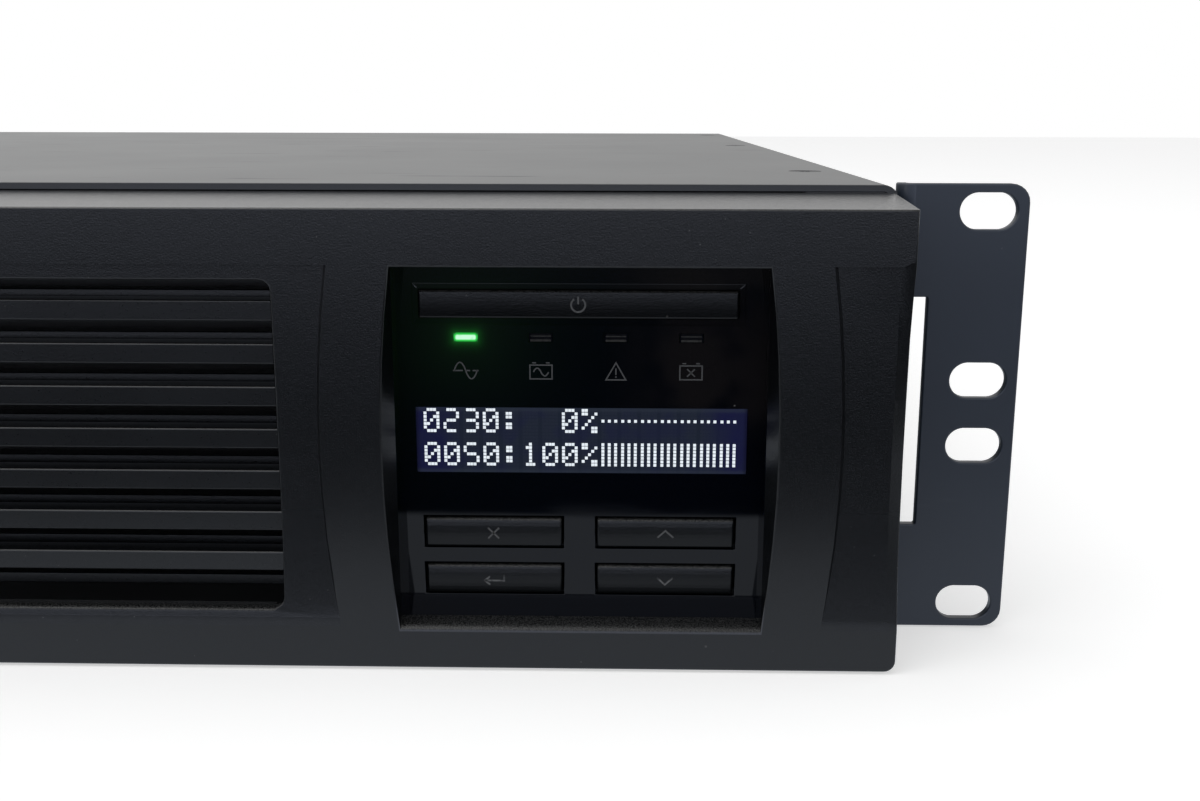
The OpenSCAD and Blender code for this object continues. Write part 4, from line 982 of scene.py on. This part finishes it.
def pan_head(head_radius, head_height, shank_radius, shank_length):
    """Steps along a screw with a low round head above the origin."""
    return [(0.6 * shank_radius, -shank_length, 0), (shank_radius, -shank_length + 0.4 * shank_radius, 0),
            (shank_radius, 0, 0), (0.98 * head_radius, 0, 0), (head_radius, 0.1 * head_height, 0),
            (0.99 * head_radius, 0.4 * head_height, 0), (0.93 * head_radius, 0.68 * head_height, 0),
            (0.82 * head_radius, 0.88 * head_height, 0), (0.66 * head_radius, 0.97 * head_height, 0),
            (0.6 * head_radius, head_height, 0)]


def countersunk(head_radius, head_height, shank_radius, shank_length):
    """Steps along a screw with its flat head below the origin."""
    return [(shank_radius, -shank_length, 0), (shank_radius, -head_height, 0),
            (0.97 * head_radius, -0.12 * head_height, 0), (head_radius, -0.06 * head_height, 0),
            (0.96 * head_radius, 0, 0)]


SHANK_RADIUS = 1.98 * MM


def set_screws(node, way_of, flat=False):
    """Screws in place of a node's plain ones, each turned its own way."""
    builder = bmesh.new()
    for i, (low, high) in enumerate(loose_parts(node)):
        centre, size = (low + high) / 2, high - low
        way = Vector(way_of(centre))
        length = abs(way.dot(size))
        radius = (sum(size) - length) / 4
        head, proud, kind = (1.2 * MM, 0, countersunk) if flat else (2.4 * MM, 2.4 * MM, pan_head)
        profile = kind(radius, head, SHANK_RADIUS, length - proud)
        seat = centre + way * (length / 2 - proud)
        add_copy(builder, screw(profile, 0.42 * radius), pointing(seat, way, 0.7 * i))
    shaded(stand_in(node, mesh_of(builder, node + "_turned")))


def thumbscrew(node):
    """A knurled thumb screw with a cross recess, its head towards the front."""
    low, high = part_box(node)
    head = (high.x - low.x) / 2
    grip, collar, total = 6 * MM, 7 * MM, high.y - low.y
    steps = [(1.3 * MM, -total, 0), (1.95 * MM, 0.6 * MM - total, 0), (1.95 * MM, -collar, 0),
             (head - 1.1 * MM, -collar, 0), (head - MM, -grip, 0), (head - 0.4 * MM, -grip, 0),
             (head, -grip + 0.4 * MM, 0.35 * MM), (head, -0.7 * MM, 0.35 * MM),
             (head - 0.5 * MM, -0.15 * MM, 0.1 * MM), (head - MM, 0, 0)]
    mesh = screw(steps, 2 * MM, 72)
    builder = bmesh.new()
    add_copy(builder, mesh, pointing(((low.x + high.x) / 2, low.y, (low.z + high.z) / 2), (0, -1, 0), 0.3))
    shaded(stand_in(node, mesh_of(builder, node + "_knurled")))


def fit_fastenings():
    """Screws of the cover, the ears and the rear, and the battery door's two thumbscrews."""
    set_screws("cover_screws", lambda centre: (0, 0, 1), flat=True)
    set_screws("ear_screws", lambda centre: (math.copysign(1, centre.x), 0, 0))
    set_screws("rear_screws", lambda centre: (0, 1, 0))
    thumbscrew("left_thumbscrew")
    thumbscrew("right_thumbscrew")


def lay_slit_shade_strip():
    """A dark strip on the frame that fills the slit under the front edge of the cover, standing in for the
    shade in it.
    """
    low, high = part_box("front_frame")
    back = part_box("front_bezel")[1].y
    builder = bmesh.new()
    # Painted shade: a dark strip where the slit would lie in shade.
    tile(builder, low.x, high.z + 0.02 * MM, high.x - low.x, 1.25 * MM, back + 0.5 * MM, back + 2.5 * MM)
    piece("slit_shade_strip", mesh_of(builder, "slit_shade_strip"), "chassis", "rubber")


# ---- Display ----

# How far each key's middle stands over its upper and lower edges, in millimetres.
KEY_RISE = {"power_button": 0.1, "escape_key": 0.34, "enter_key": 0.34, "up_key": 0.34, "down_key": 0.34}


def cap_of(node):
    """The low and high corners of a key's front face."""
    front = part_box(node)[0].y
    points = [vert.co for vert in NODES[node].data.vertices if at(vert.co.y, front)]
    return [Vector([pick(point[axis] for point in points) for axis in range(3)]) for pick in (min, max)]


def pillow_key(node, rise, radius=0.4 * MM):
    """A key whose front is gently crowned from its lower to its upper edge."""
    low, high = cap_of(node)
    builder = cleaned(node)
    rows = [low.z + (high.z - low.z) * part / 8 for part in range(1, 8)]
    add_cuts(builder, rows, (0, 0, 1), lambda face: all(at(vert.co.y, low.y) for vert in face.verts))
    for vert in builder.verts:
        if at(vert.co.y, low.y):
            part = (2 * vert.co.z - low.z - high.z) / (high.z - low.z)
            vert.co.y += rise * part ** 2
    soften(builder, radius, segments=3)
    tessellate(builder)
    favour_wide_faces(stand_in(node, mesh_of(builder, node + "_crowned", outwards=False)))


def fit_collar(node, gap):
    """A polished ring that closes most of the wide gap around the power key."""
    low, high = cap_of(node)
    centre = (low + high) / 2
    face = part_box("lcd_window")[0].y
    width, height = high.x - low.x, high.z - low.z
    steps = [(gap - 0.03 * MM, 0.6, 0.1), (gap - 0.03 * MM, 0.04, 0.1), (gap - 0.1 * MM, 0, 0.06),
             (0.15 * MM, 0, 0.35), (0.15 * MM, 0.6, 0.35)]
    rings = [rounded_outline(width + 2 * grow, height + 2 * grow, radius * MM, -sunk * MM)
             for grow, sunk, radius in steps]
    builder = bmesh.new()
    loops = [[builder.verts.new(point) for point in ring] for ring in rings]
    for i, loop in enumerate(loops):
        inner = loops[(i + 1) % len(loops)]
        for k, vert in enumerate(loop):
            builder.faces.new((loop[k - 1], vert, inner[k], inner[k - 1]))
    bmesh.ops.transform(builder, matrix=pointing((centre.x, face + 0.12 * MM, centre.z), (0, -1, 0)),
                        verts=builder.verts)
    shaded(piece("power_collar", mesh_of(builder, "power_collar"), "chassis", "display_gloss"))


def build_fascia():
    """The polished panel: only the front edges of the small keys' openings are broken."""
    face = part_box("lcd_window")[0].y
    rounded("display_fascia", 0.08 * MM, wanted=lambda edge: edge.is_convex and all(
        at(vert.co.y, face) and vert.co.z < 30 * MM for vert in edge.verts))


INK = 0.015 * MM            # how far print stands out of a face
ROOT = 0.1 * MM             # how far print and lit dots reach into it

# The text, foot and height of each row.
ROWS = [("0230:  0%.......", 42.37 * MM, 4.44 * MM), ("0050:100%|||||||", 36.16 * MM, 4.31 * MM)]

# The strokes of each character, as stroke_dots names them.
STROKES = {"0": "abcdefkmv", "1": "inq", "2": "abged", "3": "abgcd", "5": "afgcd", ":": "r", "%": "p",
           ".": "t", "|": "u", " ": ""}


def stroke_dots(stroke):
    """Columns and rows of the dots in one stroke of a character, five dots wide and seven high."""
    return {"a": [(x, 6) for x in (1, 2, 3)], "g": [(x, 3) for x in (1, 2, 3)],
            "d": [(x, 0) for x in (1, 2, 3)], "f": [(0, 4), (0, 5)], "e": [(0, 1), (0, 2)],
            "b": [(4, 4), (4, 5)], "c": [(4, 1), (4, 2)], "k": [(0, 3)], "m": [(4, 3)],
            "i": [(2, z) for z in range(7)], "n": [(1, 0), (3, 0)], "q": [(1, 5)],
            "v": [(1, 2), (2, 3), (3, 4)], "r": [(x, z) for x in (1, 2) for z in (1, 2, 4, 5)],
            "p": [(x, x + 1) for x in range(5)] + [(x, z) for x in (0, 1) for z in (5, 6)]
                 + [(x, z) for x in (3, 4) for z in (0, 1)],
            "t": [(x, 3) for x in (0, 2, 4)], "u": [(x, z) for x in (0, 2, 4) for z in range(7)]}[stroke]


def light_characters():
    """Two rows of lit dots on the screen: plain numbers and a bar of strokes."""
    builder = bmesh.new()
    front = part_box("lcd_window")[0].y
    for text, base, height in ROWS:
        step = (height - DOT) / 6
        for place, character in enumerate(text):
            left = screen_left() + place * CELL
            dots = {dot for stroke in STROKES[character] for dot in stroke_dots(stroke)}
            for column, row in sorted(dots):
                tile(builder, left + column * DOT_STEP, base + row * step, DOT, DOT,
                     front - 0.02 * MM, front + ROOT)
    piece("screen_characters", mesh_of(builder, "screen_characters"), "chassis", "screen_glass",
          "screen_white")


def wave_line(x, z, width, height):
    """One whole wave around a point, rounder than a sine."""
    heights = [math.sin(2 * math.pi * i / 24) for i in range(25)]
    return [(x + width * (i / 24 - 0.5), z + height / 2 * math.copysign(abs(h) ** 0.8, h))
            for i, h in enumerate(heights)]


def print_marks():
    """Pictograms under the lights, as thin grey ink lines given in millimetres around each middle."""
    builder = bmesh.new()
    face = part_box("lcd_window")[0].y
    level = middle("online_light").z - 6.1 * MM
    wave = middle("online_light").x
    running, warning, failed = ((low.x + high.x) / 2 for low, high in loose_parts("status_lights"))

    def line(x, points, closed=False):
        ribbon(builder, [(x + dx * MM, level + dz * MM) for dx, dz in points], 0.24 * MM,
               face - INK, face + ROOT, closed)

    def dot(x, left, foot, width, height):
        tile(builder, x + left * MM, level + foot * MM, width * MM, height * MM, face - INK, face + ROOT)

    line(wave, wave_line(-0.1, 0.05, 4.1, 3))
    for start, end in ((-2.4, -0.6), (0.05, 0.7), (1.15, 2.2)):
        line(wave, [(start, 0.05), (end, 0.05)])
    for x in (running, failed):
        line(x, [(-1.98, -1.4), (1.98, -1.4), (1.98, 1.12), (-1.98, 1.12)], closed=True)
        for side in (-1.23, 1.23):
            dot(x, side - 0.33, 1.42, 0.66, 0.22)
    line(running, wave_line(0, -0.15, 2.7, 1.4))
    for slant in (-0.68, 0.68):
        line(failed, [(-0.68, -0.15 - slant), (0.68, -0.15 + slant)])
    line(warning, [(-1.77, -1.5), (1.77, -1.5), (0, 1.6)], closed=True)
    line(warning, [(0, -0.6), (0, 0.6)])
    dot(warning, -0.14, -1.12, 0.28, 0.26)
    piece("light_marks", mesh_of(builder, "light_marks"), "chassis", "display_gloss", "printed_thin")


def mark_key(node, lines, ink="worn_print"):
    """Ink lines on a key's front, in millimetres around its middle, that travel with the key."""
    builder = bmesh.new()
    x, _, z = middle(node)
    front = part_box(node)[0].y
    for line in lines:
        ribbon(builder, [(x + dx * MM, z + dz * MM) for dx, dz in line], 0.32 * MM, front - INK, front + ROOT)
    piece(node + "_mark", mesh_of(builder, node + "_mark"), BODY_OF[node], SLOT_OF[node], ink)


def mark_keys():
    """A standby sign, a cross, two arrow heads and a bent arrow."""
    arc = [(1.25 * math.sin(math.radians(a)), 1.25 * math.cos(math.radians(a))) for a in range(35, 326, 10)]
    mark_key("power_button", [arc, [(0, 0.15), (0, 1.5)]], "printed_grey")
    mark_key("escape_key", [[(-1, -1), (1, 1)], [(-1, 1), (1, -1)]], "printed_grey")
    mark_key("up_key", [[(-1.45, -0.6), (0, 0.7), (1.45, -0.6)]], "printed_grey")
    mark_key("down_key", [[(-1.45, 0.6), (0, -0.7), (1.45, 0.6)]])
    mark_key("enter_key", [[(1.8, 0.9), (1.8, -0.2), (-1.7, -0.2)],
                           [(-0.8, 0.6), (-1.75, -0.2), (-0.8, -1.0)]])


# ---- Cooling fan ----

BLADES = 7


def blade_section(x, y, z, part, number):
    """Points around one cut through a blade, between its root at 0 and its tip at 1."""
    radius = (16.2 + 19.6 * part) * MM
    pitch = math.radians(48 - 18 * part)
    reach = (9.0 + 3.0 * part) * MM
    chords = [2 * i / 8 - 1 for i in range(9)]
    points = []
    for chord, side in [(chord, 1) for chord in chords] + [(chord, -1) for chord in reversed(chords)]:
        turn = 2 * math.pi * number / BLADES + 0.45 * part ** 1.5 + reach * chord * math.cos(pitch) / radius
        rise = reach * chord * math.sin(pitch) + 1.6 * MM * (1 - chord ** 2)
        thick = side * 0.7 * MM * (1 - 0.75 * chord ** 2)
        points.append(Vector((x + radius * math.cos(turn), y - 0.6 * MM + rise + thick,
                              z + radius * math.sin(turn))))
    return points


def fan_blades():
    """Thin cambered blades that twist and lean from the hub to their tips."""
    low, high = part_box("fan_rotor")
    x, _, z = middle("fan_guard")
    builder = bmesh.new()
    for number in range(BLADES):
        blade = lofted([blade_section(x, (low.y + high.y) / 2, z, row / 8, number) for row in range(9)])
        add_copy(builder, mesh_of(blade, "blade"))
    return builder


def build_rotor():
    """The blades on a hub with rounded shoulders."""
    low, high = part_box("fan_rotor")
    place = pointing((middle("fan_guard").x, low.y, middle("fan_guard").z), (0, 1, 0))
    total = high.y - low.y
    hub = [(13.5 * MM, 0), (16 * MM, 0), (17 * MM, 0.8 * MM), (17 * MM, total - 2 * MM),
           (16.6 * MM, total - 0.9 * MM), (15.6 * MM, total - 0.2 * MM), (14.5 * MM, total),
           (6 * MM, total), (5.6 * MM, total - 0.6 * MM), (2 * MM, total - 0.6 * MM)]
    cap = mesh_of(lofted([circle(r, h, 48) for r, h in hub]), "hub")
    builder = fan_blades()
    add_copy(builder, cap, place)
    shaded(stand_in("fan_rotor", mesh_of(builder, "fan_rotor_moulded")))


# ---- Battery pack ----

def battery_block(size, lid):
    """A moulded block along +Z: a case, a joint all round and a lid, on a rounded plan."""
    length, width, height = size
    steps = [(1.4, 0), (0.45, 0.35), (0, 1.3), (0, lid - 0.7), (0.6, lid - 0.4), (0.6, lid + 0.4),
             (0, lid + 0.7), (0, height / MM - 1.3), (0.45, height / MM - 0.35), (1.4, height / MM)]
    return mesh_of(lofted([rounded_outline(length - 2 * inset * MM, width - 2 * inset * MM,
                                           (3 - inset) * MM, z * MM) for inset, z in steps]), "block")


def build_battery_blocks():
    """Each block stands on its bottom: the two rows face each other with their lids."""
    builder = bmesh.new()
    terminals = middle("battery_terminals").y
    for low, high in loose_parts("battery_blocks"):
        size = high - low
        front = (low.y + high.y) / 2 < terminals
        way = (0, 1, 0) if front else (0, -1, 0)
        base = Vector(((low.x + high.x) / 2, low.y if front else high.y, (low.z + high.z) / 2))
        mesh = battery_block((size.x, size.z, size.y), 0.8 * size.y / MM)
        add_copy(builder, mesh, pointing(base, way))
    shaded(stand_in("battery_blocks", mesh_of(builder, "battery_blocks_moulded")))


# ---- Data port ----

def data_contacts():
    """Eight sprung gold contacts in the roof of the data port."""
    builder = bmesh.new()
    _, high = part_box("data_port")
    for i in range(8):
        x = middle("data_port").x + (i - 3.5) * 1.02 * MM
        root, tip = high.z - 2.4 * MM, high.z - 5.0 * MM
        rows = [[(x + side * 0.22 * MM, y, z + lift * MM) for side, lift in
                 ((-1, 0), (1, 0), (1, 0.25), (-1, 0.25))]
                for y, z in ((high.y - 1.6 * MM, root), (high.y - 4 * MM, root - 0.6 * MM),
                             (high.y - 11 * MM, tip))]
        add_copy(builder, mesh_of(lofted([[Vector(p) for p in row] for row in rows]), "contact"))
    piece("data_contacts", mesh_of(builder, "data_contacts"), "chassis", "brass")


def dress_solids():
    """Every solid gets the finish of its slot."""
    for node, obj in NODES.items():
        for slot in obj.material_slots:
            slot.material = FINISH[SLOT_OF[node]]


# ---- Roundings and keys ----

# Radius of the edges of the plainer mouldings and sheets, in millimetres.
EDGE_RADIUS = {
    "louvre_slats": 0.28, "louvre_baffle": 0.2, "left_ear": 0.3, "right_ear": 0.3, "battery_door": 0.3,
    "battery_tray": 0.3, "pull_strap": 0.35, "battery_plug": 0.8, "battery_socket": 0.5,
    "battery_terminals": 0.12, "fan_frame": 0.2, "mains_inlet": 0.4, "inlet_pins": 0.4,
    "outlet_blocks": 0.3, "breaker_button": 0.5, "usb_port": 0.2, "data_port": 0.3, "slot_cover": 0.25}
LONG_EDGES = 0.1            # on the case only edges longer than this are rounded, in metres


def round_edges():
    """Small roundings on the mouldings and sheets that need no other shaping."""
    for node, radius in EDGE_RADIUS.items():
        rounded(node, radius * MM)


def build_case():
    """The top cover and the base, with their long folds rounded."""
    rounded("top_cover", 0.4 * MM, shortest=LONG_EDGES)
    rounded("base_tray", 0.3 * MM, shortest=LONG_EDGES)


def build_keys():
    """The crowned keys and the collar around the power key."""
    for key, rise in KEY_RISE.items():
        pillow_key(key, rise * MM)
    fit_collar("power_button", 1.2 * MM)


# ---- Stage and light ----

TABLE_REACH = 0.076     # how far in front of the object the bright table of the mirror image ends


def pale_paper():
    """White to the eye, with the object's shadow on it.

    Mirrored, it is a bright table that ends before the object and a dark floor beyond.
    """
    paper = Finish("pale_floor", base_color=grey(0.72), roughness=0.9, specular_ior_level=0.1)
    path = paper.add("ShaderNodeLightPath", {}, {}).socket.node
    camera, glossy = (Value(paper, path.outputs[n]) for n in ("Is Camera Ray", "Is Glossy Ray"))
    _, y, _ = paper.axes(paper.place())
    front = solid_box[0].y
    edge = front - TABLE_REACH
    table = y.ramp(edge - 0.003, edge + 0.003, 0, 0.74) + y.ramp(front - 0.25, front - 0.7, 0.002, 0.1)
    lift = paper.add("ShaderNodeEmission", {}, {"Color": grey(1), "Strength": camera * 0.52})
    image = paper.add("ShaderNodeEmission", {}, {"Color": (0.88, 0.95, 1.06, 1), "Strength": table})
    lit = paper.add("ShaderNodeAddShader", {}, {0: Value(paper, paper.shader.outputs[0]), 1: lift})
    seen = paper.add("ShaderNodeMixShader", {}, {0: glossy, 1: lit, 2: image})
    output = paper.tree.nodes["Material Output"]
    paper.tree.links.new(seen.socket, output.inputs[0])
    return paper.material


def lay_floor():
    """A wide sheet of paper just under the object."""
    builder = bmesh.new()
    bmesh.ops.create_grid(builder, x_segments=8, y_segments=8, size=4)
    floor = bpy.data.objects.new("floor", mesh_of(builder, "floor"))
    bpy.context.scene.collection.objects.link(floor)
    floor.location.z = solid_box[0].z - 0.0002
    floor.data.materials.append(pale_paper())


def light_room():
    """A white room; its mirror image is brighter and cooler before the object, and duller to the right."""
    world = bpy.data.worlds.new("room")
    world.use_nodes = True
    bpy.context.scene.world = world
    room = Graph(world.node_tree)
    output = room.tree.nodes.new("ShaderNodeOutputWorld")
    path = room.add("ShaderNodeLightPath", {}, {}).socket.node
    camera, glossy, through = (Value(room, path.outputs[n]) for n in
                               ("Is Camera Ray", "Is Glossy Ray", "Is Transmission Ray"))
    across, ahead, _ = room.axes(room.add("ShaderNodeTexCoord", {}, {}, "Generated"))
    mirrored = ahead.ramp(-0.5, 0.2, 0.95, 0.8) * (1 - across * 0.25)
    mirrored = mirrored * ahead.ramp(-0.97, -0.7, 1.6, 1)
    shown = (camera + through).capped()
    strength = shown + (1 - shown) * (glossy * mirrored + (1 - glossy) * 0.5)
    cool = room.mix(glossy * ahead.ramp(-0.4, -0.8), grey(1.0), (0.93, 1.0, 1.2, 1))
    light = room.add("ShaderNodeBackground", {}, {"Color": cool, "Strength": strength})
    room.tree.links.new(light.socket, output.inputs[0])


def hang_lamp(name, place, target, size, power):
    """A round soft lamp that looks at a target."""
    data = bpy.data.lights.new(name, "AREA")
    data.shape = "DISK"
    data.size = size
    data.energy = power
    lamp = bpy.data.objects.new(name, data)
    lamp.location = place
    lamp.rotation_euler = (Vector(target) - Vector(place)).to_track_quat("-Z", "Y").to_euler()
    bpy.context.scene.collection.objects.link(lamp)


def light_object():
    """Soft light from above and from the left."""
    hang_lamp("overhead", (-0.5, -0.3, 1.7), (0, 0, 0), 1.6, 12)
    hang_lamp("left_fill", (-1.6, -1.1, 0.8), (0, 0, 0.05), 1.2, 4)


# ---- The whole object ----

FINISH = make_finishes()

place_camera()
dress_solids()
round_edges()
build_bezel()
build_fascia()
build_keys()
build_case()
fit_fastenings()
lay_slit_shade_strip()
light_characters()
print_marks()
mark_keys()
build_rotor()
build_battery_blocks()
data_contacts()
lay_floor()
light_room()
light_object()

bpy.context.scene.view_settings.view_transform = "Standard"
